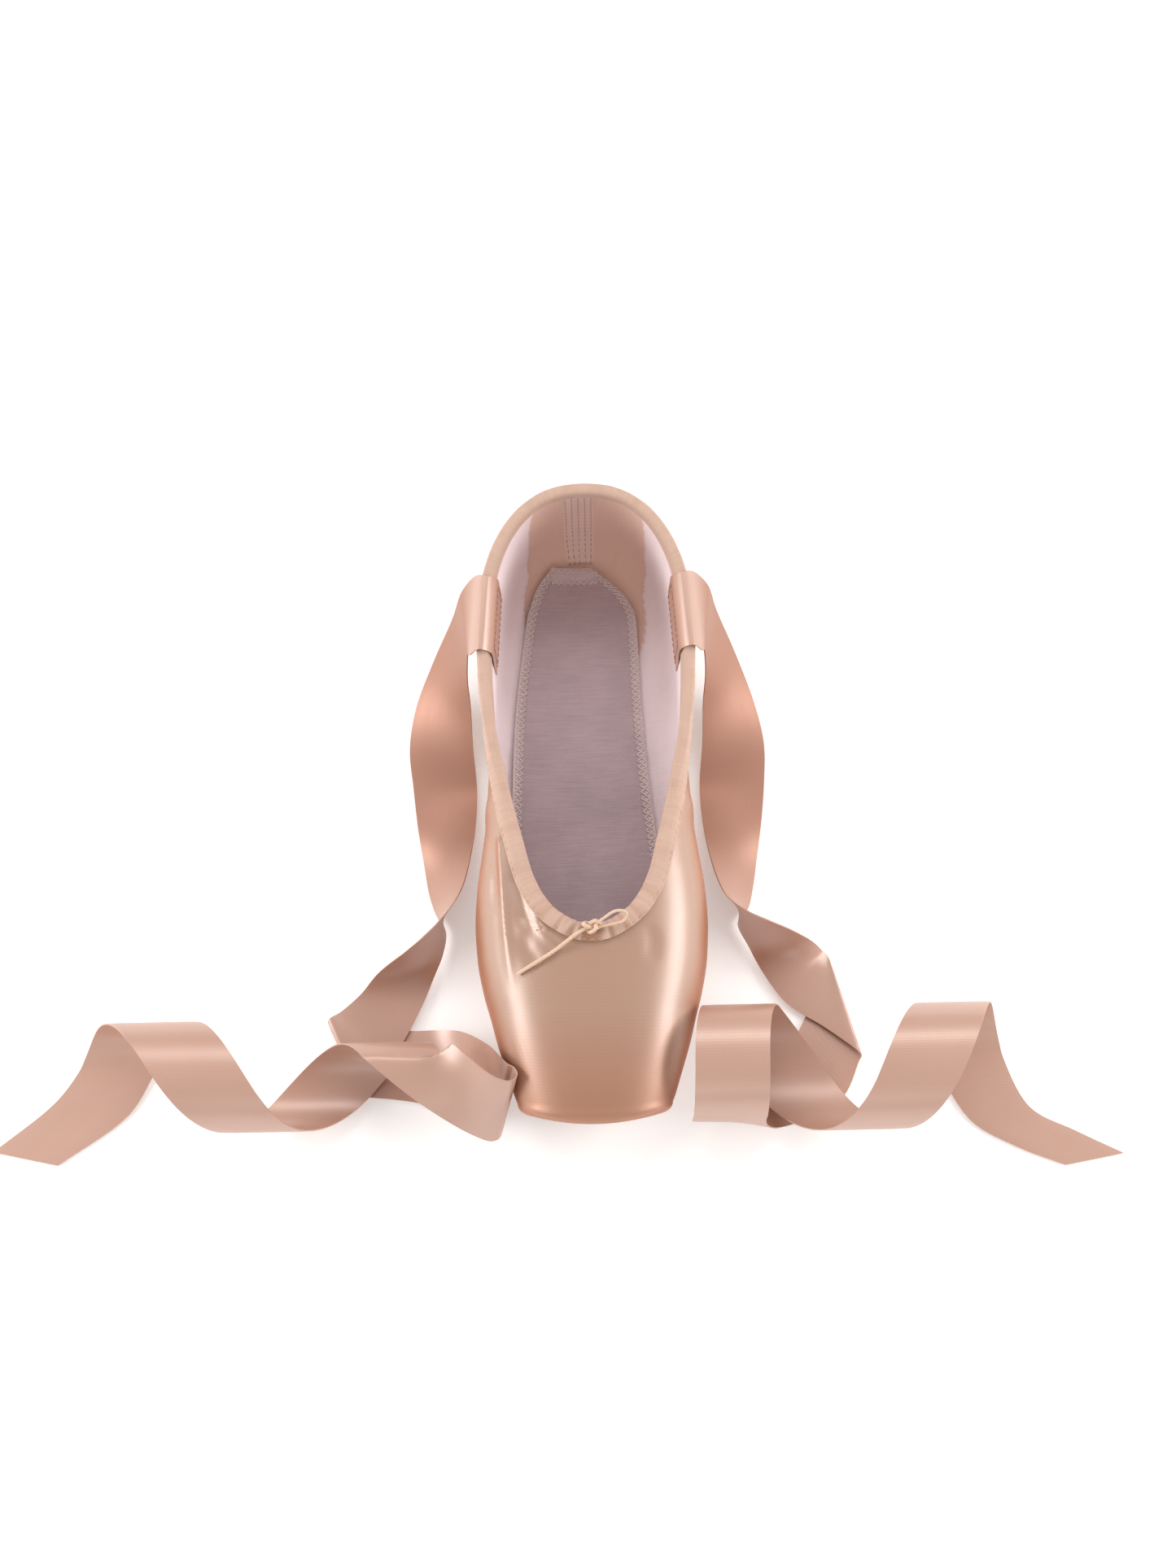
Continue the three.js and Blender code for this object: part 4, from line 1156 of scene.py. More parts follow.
@dataclass
class Upper:
    """The hollow upper: satin outside, cotton lining inside, with its creases and seams."""

    last: Last
    vamp_steps: int = 44
    throat_steps: int = 84
    heel_steps: int = 56
    low_levels: int = 26
    high_levels: int = 40
    round_steps: int = 9
    face_steps: int = 6
    lining_overlap: float = 0.00045
    overlap_from: float = 0.030
    counter_blend: float = 0.0008
    # Where painted shade lies on the satin: steep sides and the toe's end, fading towards the heel.
    steep_from: float = 0.66
    steep_over: float = 0.34
    steep_back: float = 0.030
    steep_fade: float = 0.060
    steep_rest: float = 0.25
    toe_shade: float = 0.6
    toe_shade_from: float = -0.078
    toe_shade_over: float = 0.030
    throat_power: float = 1.7
    level_power: float = 1.15
    toe_turn_deg: float = 78.0

    def places(self) -> list[float]:
        """Stations along the shoe, closer together at the throat."""
        last = self.last
        start = last.toe_y + last.toe_round
        vamp = [mix(start, last.throat_y, i / self.vamp_steps) for i in range(1, self.vamp_steps)]
        collar = last.along_collar(self.throat_steps, self.throat_power)
        return vamp + collar + last.round_heel(self.heel_steps)

    def levels(self) -> list[float]:
        """Levels from the lower opening to the collar edge."""
        low = [-((1 - i / self.low_levels) ** self.level_power) for i in range(self.low_levels)]
        return low + [(i / self.high_levels) ** self.level_power for i in range(self.high_levels + 1)]

    def on_vamp(self, x: float, y: float) -> Triple:
        """A point of the skin over the plan."""
        return x, y, self.last.height(x, y)

    def on_side(self, side: Side, u: float, v: float) -> Triple:
        """A point of the skin by its place."""
        x, y, z = self.last.skin(u, v)
        return side.value * x, y, z

    def creases(self) -> list[Crease]:
        """The creases and seams of the satin, at the listed places."""
        made = [Crease(tuple(self.on_vamp(*p) for p in line), *form) for line, *form in VAMP_CREASES]
        for side in Side:
            for line, *form in SIDE_CREASES:
                made.append(Crease(tuple(self.on_side(side, *p) for p in line), *form))
        back = tuple(self.on_side(Side.RIGHT, self.last.heel_end, v) for v in BACK_SEAM_LEVELS)
        return made + [Crease(back, *BACK_SEAM)]

    def toe_rings(self, wall: float) -> Point:
        """Rings that round the toe into its flat end.

        Args:
            wall: how far inside the outer skin the rings lie.

        Returns:
            Points from the middle of the end face outwards, as (rings, levels, 3).
        """
        last = self.last
        centre = np.array([0.0, 0.0, last.toe_middle_z])
        base = np.array([last.skin(last.toe_y + last.toe_round, v) for v in self.levels()])
        base[[0, -1], 0] = 0.0
        bend = last.toe_round - wall

        def ring(degrees: float) -> Point:
            """One ring of the rounded edge."""
            a = math.radians(degrees)
            scale = 1 - (wall + bend * (1 - math.cos(a))) / last.toe_radius
            made = (base - centre) * scale + centre
            made[:, 1] = base[:, 1] - bend * math.sin(a)
            return made

        turns = [self.toe_turn_deg * (1 - i / self.round_steps) for i in range(self.round_steps + 1)]
        edge = [ring(turn) for turn in turns]
        middle = (edge[0][0] + edge[0][-1]) / 2
        middle[0] = 0.0
        face = [middle + (edge[0] - middle) * (i / self.face_steps) for i in range(self.face_steps)]
        return np.array(face + edge)

    def counter(self, side: Side, points: Point) -> Point:
        """1 on the heel's own lining, 0 on the quarters' lining in front of it."""
        column = 2 if side is Side.RIGHT else 1
        edge = np.interp(points[:, :, 2], [r.z for r in COUNTER], [r[column] for r in COUNTER])
        share = np.clip((points[:, :, 1] - edge) / self.counter_blend + 0.5, 0, 1)
        return share * share * (3 - 2 * share)

    def painted_shade(self, shell: Point) -> Point:
        """Painted shade: 1 where the satin falls steeply or nears the toe's end, less towards the heel, 0 on
        top.
        """
        steep = np.clip((self.steep_from - np.abs(grid_normals(shell)[:, :, 2])) / self.steep_over, 0, 1)
        toward_toe = np.clip((self.toe_shade_from - shell[:, :, 1]) / self.toe_shade_over, 0, 1)
        fore = np.clip((self.steep_back - shell[:, :, 1]) / self.steep_fade, self.steep_rest, 1)
        return np.maximum(steep, self.toe_shade * toward_toe) * fore

    def build(self, finishes: Finishes) -> bpy.types.Object:
        """Makes the upper's mesh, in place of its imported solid."""
        last, places, levels = self.last, self.places(), self.levels()
        skin = np.array([[last.skin(u, v) for v in levels] for u in places])
        normals = np.array([[last.normal(u, v) for v in levels] for u in places])
        walls = np.array([last.wall(u) for u in places])[:, None, None]
        inner = skin - normals * walls
        closed_low = np.array([last.girth(u).low[0] < TINY for u in places])
        closed_high = np.array([last.girth(u).rim[0] < TINY for u in places])
        for face in (skin, inner, normals):
            face[closed_low, 0, 0] = 0.0
            face[closed_high, -1, 0] = 0.0
            face[-1, :, 0] = 0.0
        toe, toe_inner = self.toe_rings(0.0), self.toe_rings(last.box_wall)
        outer = np.concatenate([toe, skin])
        out = np.concatenate([np.zeros_like(toe), normals])
        zero = self.low_levels
        weave = Weave()
        first_open = len(toe) + next(i for i, u in enumerate(places) if u >= last.throat_y - TINY)
        first_under = len(toe) + next(i for i, u in enumerate(places) if u >= last.opening_front_y)
        behind = (np.array(places) > last.heel_centre_y - self.overlap_from)[:, None, None]
        for side in Side:
            flip = side is Side.LEFT
            sign = side.mirror
            shell = outer * sign
            flat = shell.reshape(-1, 3)
            lift = sum(crease.lift(flat) for crease in self.creases()).reshape(shell.shape[:2])
            shell = shell + out * sign * lift[:, :, None]
            counter = self.counter(side, inner)[:, :, None]
            padded = inner - normals * self.lining_overlap * (1 - counter) * behind
            lining = np.concatenate([toe_inner, padded]) * sign
            marks = np.concatenate([np.zeros(toe.shape[:2]), counter[:, :, 0]])
            # The shell's marks lay painted shade on the satin.
            weave.grid(shell, arc_uv(shell, zero), 0, flip, self.painted_shade(shell))
            weave.grid(lining, arc_uv(lining, zero), 1, not flip, marks)
            rim = np.stack([shell[first_open:, -1], lining[first_open:, -1]], axis=1)
            weave.grid(rim, None, 1, flip)
            under = np.stack([shell[first_under:, 0], lining[first_under:, 0]], axis=1)
            weave.grid(under, None, 1, not flip)
        made = weave.piece("upper_dressed", [finishes.satin, finishes.lining], sharp_deg=60)
        return settle(made, "satin", "upper")

    def inner_point(self, side: Side, u: float, v: float, lift: float) -> tuple[Point, Point]:
        """A point over the lining, and the normal into the shoe there."""
        sign = side.mirror
        normal = self.last.normal(u, v)
        point = self.last.skin(u, v) - normal * (self.last.wall(u) + lift)
        return point * sign, -normal * sign


def settle(piece: bpy.types.Object, slot: str, *nodes: str) -> bpy.types.Object:
    """Joins a piece to the frame.

    Args:
        piece: the finished object.
        slot: the record's material slot that it takes its finish from.
        nodes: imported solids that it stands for.

    Returns:
        The same object.
    """
    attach(piece, BODY)
    if nodes:
        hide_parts(*nodes)
    LOG.info("%s: %d faces", piece.name, len(piece.data.polygons))
    return piece


@dataclass
class HeelTape:
    """The tape over the back seam, inside the heel, with its rows of stitches."""

    upper: Upper
    left: float = -0.0078
    right: float = 0.0040
    lift: float = 0.0003
    top_v: float = 0.80
    low_v: float = -0.62
    steps: int = 26
    columns: int = 15
    stitch_rows: tuple[float, ...] = (-0.0068, -0.0044, -0.0019, 0.0006, 0.0030)
    stitch_lift: float = 0.0001
    tone: float = 0.7

    def over(self, x: float, v: float, lift: float) -> tuple[Point, Point]:
        """A point over the heel's lining at a distance from the back seam, and the normal there."""
        last = self.upper.last
        share = min(1.0, abs(x) / last.girth(last.heel_centre_y).wide[0])
        degrees = math.degrees(math.acos(share ** (last.heel_powers[1] / 2)))
        side = Side.RIGHT if x > 0 else Side.LEFT
        return self.upper.inner_point(side, last.heel_centre_y + degrees * last.per_degree, v, lift)

    def build(self, finishes: Finishes) -> list[bpy.types.Object]:
        """Makes the tape and its stitches."""
        levels = np.linspace(self.top_v, self.low_v, self.steps)
        across = np.linspace(self.left, self.right, self.columns)
        lifts = [0.0] + [self.lift] * (self.columns - 2) + [0.0]
        rows = np.array([[self.over(x, v, h)[0] for x, h in zip(across, lifts)] for v in levels])
        weave = Weave()
        weave.grid(rows, arc_uv(rows), 0, True, np.full(rows.shape[:2], self.tone))
        tape = weave.piece("heel_tape", [finishes.lining])
        runs = []
        for x in self.stitch_rows:
            pairs = [self.over(x, v, self.lift + self.stitch_lift) for v in levels]
            runs.append(StitchRun(np.array([p for p, _ in pairs]), np.array([n for _, n in pairs])))
        sewing = Stitches("heel_tape_stitches", PLAIN_STITCH, finishes.sole_thread)
        return [settle(tape, "satin"), settle(sewing.build(runs), "satin")]


@dataclass
class Binding:
    """The folded tape round the collar, gathered by its drawstring at the throat."""

    last: Last
    outside: float = 0.0048
    inside: float = 0.005
    clear: float = 0.00042
    thickness: float = 0.0009
    rise: float = 0.00035
    puff: float = 0.00045
    gather_reach: float = 0.0155
    gather: float = 0.00095
    wave: float = 0.00007
    fold_places: tuple[float, ...] = (
        -0.0345, -0.0290, -0.0246, -0.0205, -0.0172, -0.0143, -0.0116, -0.0090, -0.0066, -0.0042,
        0.0040, 0.0063, 0.0088, 0.0112, 0.0140, 0.0174, 0.0210, 0.0258, 0.0310, 0.0370,
    )
    fold_width: float = 0.0010
    fold_slants: Pair = (-0.14, 0.10)
    fold_heights: Triple = (0.7, 0.3, 7.0)
    fold_rest: float = 0.45
    wave_paces: Triple = (620.0, 173.0, 300.0)
    trough_share: float = 0.4
    outer_shares: tuple[float, ...] = (1.0, 0.92, 0.78, 0.62, 0.46, 0.30, 0.15)
    bend_deg: tuple[float, ...] = (0, 22, 45, 68, 90, 112, 135, 158, 180)
    inner_shares: tuple[float, ...] = (0.25, 0.5, 0.75, 1.0)
    inner_drop: float = 0.002
    follow: float = 0.5
    throat_power: float = 1.8
    collar_steps: int = 190
    heel_steps: int = 60
    hem_share: float = 0.86
    hem_lift: float = 0.0002

    def gathered(self, arc: float, drop: float) -> float:
        """How far the tape stands out at a place along the collar and a distance below its edge."""
        near = math.exp(-((arc / self.gather_reach) ** 2))
        usual, change, pace = self.fold_heights
        lift = 0.0
        for k, place in enumerate(self.fold_places):
            off = (arc - place - self.fold_slants[k % 2] * drop) / self.fold_width
            lift += math.exp(-(off**2)) * (usual + change * math.cos(pace * k))
        short, long, down = self.wave_paces
        ripple = self.wave * math.sin(arc * short) * math.sin(arc * long + drop * down)
        return self.gather * near * (lift - self.fold_rest) + ripple

    def trough(self, arc: float, drop: float) -> float:
        """Painted shade: 1 in the bottom of a gather, 0 on its top."""
        return min(1.0, max(0.0, -self.gathered(arc, drop) / (self.trough_share * self.gather)))

    def section(self, u: float, arc: float, side: Side) -> Point:
        """One folded section, from the outside hem over the edge to the inside hem and back."""
        last = self.last
        wall = last.wall(u)
        near, far = self.clear, self.clear + self.thickness
        cache: dict[float, tuple[Point, Point]] = {}

        def on(drop: float, out: float) -> Point:
            """A point over the skin at a distance below the edge."""
            if drop not in cache:
                cache[drop] = last.below_collar(u, drop)
            point, normal = cache[drop]
            return point + normal * out

        edge, normal = last.below_collar(u, 0.0)
        past = last.past_edge(u)
        place = side.value * arc
        ring = [on(self.outside, near)]
        for share in self.outer_shares:
            drop = self.outside * share
            puffed = self.puff * math.sin(math.pi * share) + self.gathered(place, drop)
            ring.append(on(drop, far + puffed))
        middle, reach = -wall / 2, wall / 2 + far
        crest = self.rise + self.thickness + self.follow * self.gathered(place, 0.0)
        for degrees in self.bend_deg:
            a = math.radians(degrees)
            ring.append(edge + normal * (middle + reach * math.cos(a)) + past * crest * math.sin(a))
        for share in self.inner_shares:
            inward = far + self.follow * self.gathered(place, self.inner_drop)
            ring.append(on(self.inside * share, -wall - inward))
        ring.append(on(self.inside, -wall - near))
        ring.append(on(self.inside / 2, -wall - near))
        ring.append(edge + normal * (-wall - near) + past * self.rise)
        ring.append(edge + normal * near + past * self.rise)
        ring.append(on(self.outside / 2, near))
        made = np.array(ring)
        if u <= last.throat_y or u >= last.heel_end - TINY:
            made[:, 0] = 0.0
        return made

    def build(self, finishes: Finishes) -> list[bpy.types.Object]:
        """Makes the tape and the row of stitches that holds its hem."""
        last = self.last
        places = last.along_collar(self.collar_steps, self.throat_power) + last.round_heel(self.heel_steps)
        edges = np.array([last.skin(u, 1.0) for u in places])
        arcs = np.concatenate([[0.0], np.cumsum(np.linalg.norm(np.diff(edges, axis=0), axis=1))])
        weave = Weave()
        runs = []
        for side in Side:
            sign = side.mirror
            rows = np.array([self.section(u, arc, side) for u, arc in zip(places, arcs)]) * sign
            drops = np.linspace(self.outside, 0.0, rows.shape[1] // 2)
            marks = np.zeros(rows.shape[:2])
            # The gathers' troughs take painted shade.
            marks[:, : len(drops)] = [[self.trough(side.value * arc, d) for d in drops] for arc in arcs]
            weave.grid(rows, arc_uv(rows), 0, side is Side.LEFT, marks, True)
            hem = [last.below_collar(u, self.outside * self.hem_share) for u in places]
            out = self.clear + self.thickness + self.hem_lift
            points = np.array([(p + n * out) * sign for p, n in hem])
            runs.append(StitchRun(points, np.array([n * sign for _, n in hem])))
        tape = weave.piece("binding_dressed", [finishes.binding])
        sewing = Stitches("binding_stitches", HEM_STITCH, finishes.sole_thread)
        return [settle(tape, "binding_tape", "binding"), settle(sewing.build(runs), "binding_tape")]


@dataclass
class Outline:
    """Half outline of a flat piece between two half-ellipse ends."""

    front: float
    back: float
    rows: tuple[Pair, ...]

    def stations(self, end_steps: int, mid_steps: int) -> list[Pair]:
        """Places along the piece with their half widths.

        Args:
            end_steps: steps in each rounded end.
            mid_steps: steps between the ends.

        Returns:
            (y, half width) pairs from the front end to the back end.
        """
        half = Table([y for y, _ in self.rows], [h for _, h in self.rows])
        (first, first_half), (last, last_half) = self.rows[0], self.rows[-1]
        made = []
        for i in range(end_steps + 1):
            a = math.pi / 2 * i / end_steps
            made.append((first + (self.front - first) * math.cos(a), first_half * math.sin(a) if i else 0.0))
        for i in range(1, mid_steps):
            y = mix(first, last, i / mid_steps)
            made.append((y, half(y)))
        for i in range(end_steps, -1, -1):
            a = math.pi / 2 * i / end_steps
            made.append((last + (self.back - last) * math.cos(a), last_half * math.sin(a) if i else 0.0))
        return made


SOLE_ROWS = (
    (-0.078, 0.0215), (-0.060, 0.0240), (-0.045, 0.0244), (-0.025, 0.0224), (0.000, 0.0176),
    (0.020, 0.0158), (0.042, 0.0170), (0.062, 0.0190), (0.080, 0.0194),
)


@dataclass
class Outsole:
    """The leather sole, with a skived edge."""

    last: Last
    outline: Outline = field(default_factory=lambda: Outline(-0.095, 0.101, SOLE_ROWS))
    thickness: float = 0.003
    profile: tuple[Pair, ...] = (
        (0.0, 0.0), (0.45, 0.0), (0.80, 0.0), (0.92, 0.0), (0.955, 0.10), (0.98, 0.24), (0.995, 0.40),
        (1.0, 0.54), (0.995, 0.72), (0.985, 0.87), (0.96, 1.0), (0.5, 1.0), (0.0, 1.0),
    )
    end_steps: int = 22
    mid_steps: int = 80
    channel_share: float = 0.88
    channel_lift: float = 0.00012
    channel_least: float = 0.003

    def build(self, finishes: Finishes) -> list[bpy.types.Object]:
        """Makes the sole and the stitches in its channel."""
        weave = Weave()
        stations = self.outline.stations(self.end_steps, self.mid_steps)
        tread = self.last.tread

        def section(y: float, w: float) -> list[Triple]:
            """One half section across the sole."""
            return [(w * share, y, tread(y) + self.thickness * up) for share, up in self.profile]

        half = np.array([section(y, w) for y, w in stations])
        for side in Side:
            rows = half * side.mirror
            weave.grid(rows, rows[:, :, :2], 0, side is Side.LEFT)
        sole = weave.piece("outsole_dressed", [finishes.leather], sharp_deg=70)
        kept = [(y, w) for y, w in stations if w > self.channel_least]
        right = [(self.channel_share * w, y, tread(y) + self.channel_lift) for y, w in kept]
        left = [(-x, y, z) for x, y, z in reversed(right)]
        points = np.array(right + left)
        down = np.tile([0.0, 0.0, -1.0], (len(points), 1))
        sewing = Stitches("outsole_stitches", SOLE_STITCH, finishes.sole_thread)
        return [
            settle(sole, "sole_leather", "outsole"),
            settle(sewing.build([StitchRun(points, down, True)]), "sole_leather"),
        ]


class InsoleRow(NamedTuple):
    """The sock's two edges at a place along the shoe."""

    y: float
    left: float
    right: float


INSOLE = rows_of(
    InsoleRow,
    (-0.0660, -0.0250, 0.0250),
    (-0.0450, -0.0282, 0.0276),
    (-0.0200, -0.0282, 0.0256),
    (0.0030, -0.0279, 0.0230),
    (0.0200, -0.0274, 0.0215),
    (0.0380, -0.0267, 0.0206),
    (0.0525, -0.0256, 0.0200),
    (0.0675, -0.0238, 0.0197),
    (0.0810, -0.0221, 0.0192),
    (0.0906, -0.0194, 0.0152),
    (0.0945, -0.0178, 0.0118),
    (0.0986, -0.0150, 0.0072),
    (0.1022, -0.0122, 0.0026),
)


@dataclass
class Insole:
    """The woven sock over its board, overlocked round its edge and folded under at the heel."""

    last: Last
    front: float = -0.088
    thickness: float = 0.002
    gap_under: float = 0.0004
    end_steps: int = 24
    mid_steps: int = 110
    columns: int = 41
    hem: float = 0.0054
    hem_lift: float = 0.0004
    edge: float = 0.0032
    edge_blend: float = 0.0010
    flat_share: float = 1.02
    bed_clear: float = 0.0005
    hem_blend: float = 0.0008
    stitch_insets: Pair = (0.0012, 0.0026)
    stitch_lift: float = 0.0002
    heel_stitches: int = 8

    def __post_init__(self) -> None:
        """Reads the edges into their curves."""
        ys = [r.y for r in INSOLE]
        self.left = Table(ys, [r.left for r in INSOLE])
        self.right = Table(ys, [r.right for r in INSOLE])

    def stations(self) -> list[InsoleRow]:
        """Both edges along the piece, from its rounded front end to its straight heel end."""
        first, last = INSOLE[0], INSOLE[-1]
        made = []
        for i in range(self.end_steps):
            a = math.pi / 2 * i / self.end_steps
            y = first.y + (self.front - first.y) * math.cos(a)
            made.append(InsoleRow(y, first.left * math.sin(a), first.right * math.sin(a)))
        for i in range(self.mid_steps + 1):
            y = mix(first.y, last.y, i / self.mid_steps)
            made.append(InsoleRow(y, self.left(y), self.right(y)))
        return made

    def top(self, x: float, y: float) -> float:
        """Height of the sock's upper face."""
        last = self.last
        flat = last.tread(y) + last.sole + 3 * last.gap + last.wall(y) * self.flat_share
        hem = self.hem_lift * smooth((y - (INSOLE[-1].y - self.hem)) / self.hem_blend)
        return max(flat, last.bed(x, y) + self.bed_clear) + self.thickness + hem

    def build(self, finishes: Finishes) -> list[bpy.types.Object]:
        """Makes the sock and its overlocked edge."""
        stations = self.stations()
        shares = (1 - np.cos(np.linspace(0, math.pi, self.columns))) / 2
        plan = [[(mix(r.left, r.right, k), r.y) for k in shares] for r in stations]
        top = np.array([[(x, y, self.top(x, y)) for x, y in row] for row in plan])
        base = top - np.array([0.0, 0.0, self.thickness - self.gap_under])
        marks = self.pale(top, stations)
        weave = Weave()
        weave.grid(top, top[:, :, :2], 0, False, marks)
        weave.grid(base, base[:, :, :2], 0, True, marks)
        for column, flip in ((0, False), (-1, True)):
            rim = np.stack([base[:, column], top[:, column]], axis=1)
            weave.grid(rim, rim[:, :, :2], 0, flip, np.ones(rim.shape[:2]))
        heel = np.stack([top[-1], base[-1]], axis=0)
        weave.grid(heel, heel[:, :, :2], 0, False, np.ones(heel.shape[:2]))
        sock = weave.piece("insole_dressed", [finishes.insole], sharp_deg=60)
        runs = [self.edge_run(stations, inset) for inset in self.stitch_insets]
        sewing = Stitches("insole_overlock", OVERLOCK, finishes.thread)
        return [settle(sock, "sock_lining", "insole"), settle(sewing.build(runs), "sock_lining")]

    def edge_run(self, stations: Sequence[InsoleRow], inset: float) -> StitchRun:
        """A line of stitches round the sock, at a distance inside its edge."""
        kept = [r for r in stations if r.right > 2 * inset]
        left = [(r.left + inset, r.y - (inset if r is kept[-1] else 0.0)) for r in kept]
        right = [(r.right - inset, r.y - (inset if r is kept[-1] else 0.0)) for r in kept]
        (x0, y0), (x1, _) = left[-1], right[-1]
        heel = [(mix(x0, x1, k / self.heel_stitches), y0) for k in range(1, self.heel_stitches)]
        points = [(x, y, self.top(x, y) + self.stitch_lift) for x, y in left + heel + right[::-1]]
        return StitchRun(np.array(points), np.tile([0.0, 0.0, 1.0], (len(points), 1)))

    def pale(self, rows: Point, stations: Sequence[InsoleRow]) -> Point:
        """1 on the paler turned edge and the heel hem, 0 elsewhere."""
        left = rows[:, :, 0] - np.array([r.left for r in stations])[:, None]
        right = np.array([r.right for r in stations])[:, None] - rows[:, :, 0]
        edge = np.clip((self.edge - np.minimum(left, right)) / self.edge_blend, 0, 1)
        hem = np.clip((rows[:, :, 1] - (INSOLE[-1].y - self.hem)) / self.edge_blend, 0, 1)
        return np.maximum(edge, hem)


class RibbonRow(NamedTuple):
    """A ruling of a ribbon: its heel-side edge a and toe-side edge b, with o counted outwards."""

    ao: float
    ay: float
    az: float
    bo: float
    by: float
    bz: float


class CurlRow(NamedTuple):
    """A curl round an axis along X: turn in degrees, middle, axis, radius, lift, half a ruling."""

    turn: float
    o: float
    y: float
    r: float
    lift: float
    half: float


LEFT_FALL = rows_of(
    RibbonRow,
    (0.044, 0.0755, 0.044, 0.0418, 0.05, 0.0445),
    (0.0485, 0.071, 0.031, 0.0425, 0.049, 0.0385),
    (0.057, 0.06, 0.016, 0.0431, 0.0465, 0.029),
    (0.064, 0.046, 0.0065, 0.0428, 0.0415, 0.0175),
    (0.0665, 0.0315, 0.0022, 0.0426, 0.03, 0.0075),
    (0.065, 0.016, 0.001, 0.0414, 0.015, 0.0026),
    (0.063, 0.0, 0.001, 0.0416, -0.001, 0.0065),
    (0.0605, -0.014, 0.0009, 0.043, -0.016, 0.014),
    (0.0585, -0.025, 0.0008, 0.045, -0.028, 0.0205),
    (0.056, -0.0325, 0.0008, 0.048, -0.0355, 0.024),
)
RIGHT_FALL = rows_of(
    RibbonRow,
    (0.044, 0.076, 0.0445, 0.0418, 0.05, 0.0445),
    (0.0478, 0.072, 0.032, 0.0425, 0.049, 0.0385),
    (0.0554, 0.061, 0.017, 0.043, 0.0465, 0.029),
    (0.0622, 0.046, 0.007, 0.0426, 0.0415, 0.0175),
    (0.0656, 0.0315, 0.0022, 0.0424, 0.03, 0.0075),
    (0.065, 0.016, 0.001, 0.041, 0.015, 0.0026),
    (0.063, 0.0, 0.001, 0.0412, -0.001, 0.0065),
    (0.0605, -0.014, 0.0009, 0.0426, -0.016, 0.014),
    (0.0585, -0.025, 0.0008, 0.0448, -0.028, 0.0205),
    (0.0564, -0.0325, 0.0008, 0.0474, -0.035, 0.024),
)
LEFT_LAY = rows_of(
    RibbonRow,
    (0.0526, -0.039, 0.001, 0.0545, -0.0435, 0.024),
    (0.0534, -0.047, 0.0012, 0.065, -0.0505, 0.018),
    (0.0566, -0.056, 0.0015, 0.0754, -0.0562, 0.01),
    (0.0604, -0.066, 0.0019, 0.0824, -0.0624, 0.0038),
    (0.07, -0.084, 0.002, 0.0894, -0.068, 0.0021),
    (0.0805, -0.096, 0.00215, 0.0928, -0.07, 0.00215),
    (0.0813, -0.0972, 0.00145, 0.0936, -0.0712, 0.00145),
    (0.0795, -0.0978, 0.00075, 0.0918, -0.072, 0.00075),
    (0.0705, -0.0988, 0.00075, 0.0776, -0.0734, 0.00075),
    (0.061, -0.1004, 0.0009, 0.064, -0.075, 0.0012),
    (0.0524, -0.1032, 0.0012, 0.055, -0.0754, 0.0034),
    (0.0444, -0.106, 0.0018, 0.0466, -0.0772, 0.009),
    (0.0388, -0.1076, 0.003, 0.0368, -0.084, 0.02),
    (0.0362, -0.1084, 0.0048, 0.0315, -0.0906, 0.0298),
    (0.0354, -0.109, 0.0062, 0.0287, -0.094, 0.0342),
    (0.0334, -0.1102, 0.0064, 0.0266, -0.0953, 0.0348),
    (0.0324, -0.1124, 0.0072, 0.0256, -0.0975, 0.0354),
    (0.0334, -0.1144, 0.0086, 0.0266, -0.0996, 0.0366),
    (0.0358, -0.1152, 0.0098, 0.029, -0.1002, 0.0376),
    (0.0406, -0.114, 0.013, 0.0344, -0.098, 0.0384),
    (0.049, -0.1102, 0.0192, 0.0418, -0.0918, 0.038),
    (0.062, -0.1022, 0.0265, 0.0476, -0.087, 0.0346),
)
RIGHT_LAY = rows_of(
    RibbonRow,
    (0.0526, -0.038, 0.001, 0.0535, -0.04, 0.024),
    (0.056, -0.0468, 0.0012, 0.067, -0.0447, 0.019),
    (0.0602, -0.056, 0.0015, 0.0776, -0.0478, 0.01),
    (0.0682, -0.068, 0.0019, 0.082, -0.0498, 0.0036),
    (0.0812, -0.077, 0.002, 0.0836, -0.0508, 0.0021),
    (0.0924, -0.086, 0.00215, 0.0842, -0.0525, 0.00215),
    (0.0932, -0.0872, 0.00145, 0.0846, -0.054, 0.00145),
    (0.0924, -0.0886, 0.00075, 0.0832, -0.056, 0.00075),
    (0.086, -0.101, 0.00075, 0.067, -0.085, 0.00075),
    (0.072, -0.1088, 0.0008, 0.051, -0.098, 0.0008),
    (0.063, -0.1116, 0.0026, 0.0444, -0.1026, 0.0022),
    (0.0588, -0.1122, 0.0094, 0.0372, -0.1078, 0.008),
)
LEFT_CURL = rows_of(
    CurlRow,
    (120, 0.0635, -0.098, 0.015, 0.003, 0.013),
    (180, 0.073, -0.098, 0.015, 0.003, 0.015),
    (270, 0.093, -0.097, 0.0155, 0.0028, 0.016),
    (360, 0.1132, -0.095, 0.0165, 0.0016, 0.014),
    (450, 0.1324, -0.093, 0.0175, 0.0009, 0.0152),
    (540, 0.153, -0.092, 0.0175, 0.0008, 0.0155),
    (615, 0.1666, -0.0916, 0.0175, 0.0008, 0.0135),
)
RIGHT_CURL = rows_of(
    CurlRow,
    (0, 0.0446, -0.0928, 0.0188, 0.0012, 0.0123),
    (90, 0.0452, -0.0928, 0.0192, 0.002, 0.0122),
    (180, 0.0506, -0.0934, 0.0198, 0.0026, 0.0125),
    (270, 0.0664, -0.094, 0.02, 0.0028, 0.015),
    (360, 0.0906, -0.095, 0.0205, 0.0016, 0.0138),
    (405, 0.1012, -0.0942, 0.0205, 0.0012, 0.0134),
    (450, 0.1098, -0.093, 0.0204, 0.0009, 0.0138),
    (540, 0.1236, -0.094, 0.02, 0.0008, 0.0123),
    (615, 0.1305, -0.094, 0.02, 0.0008, 0.012),
)
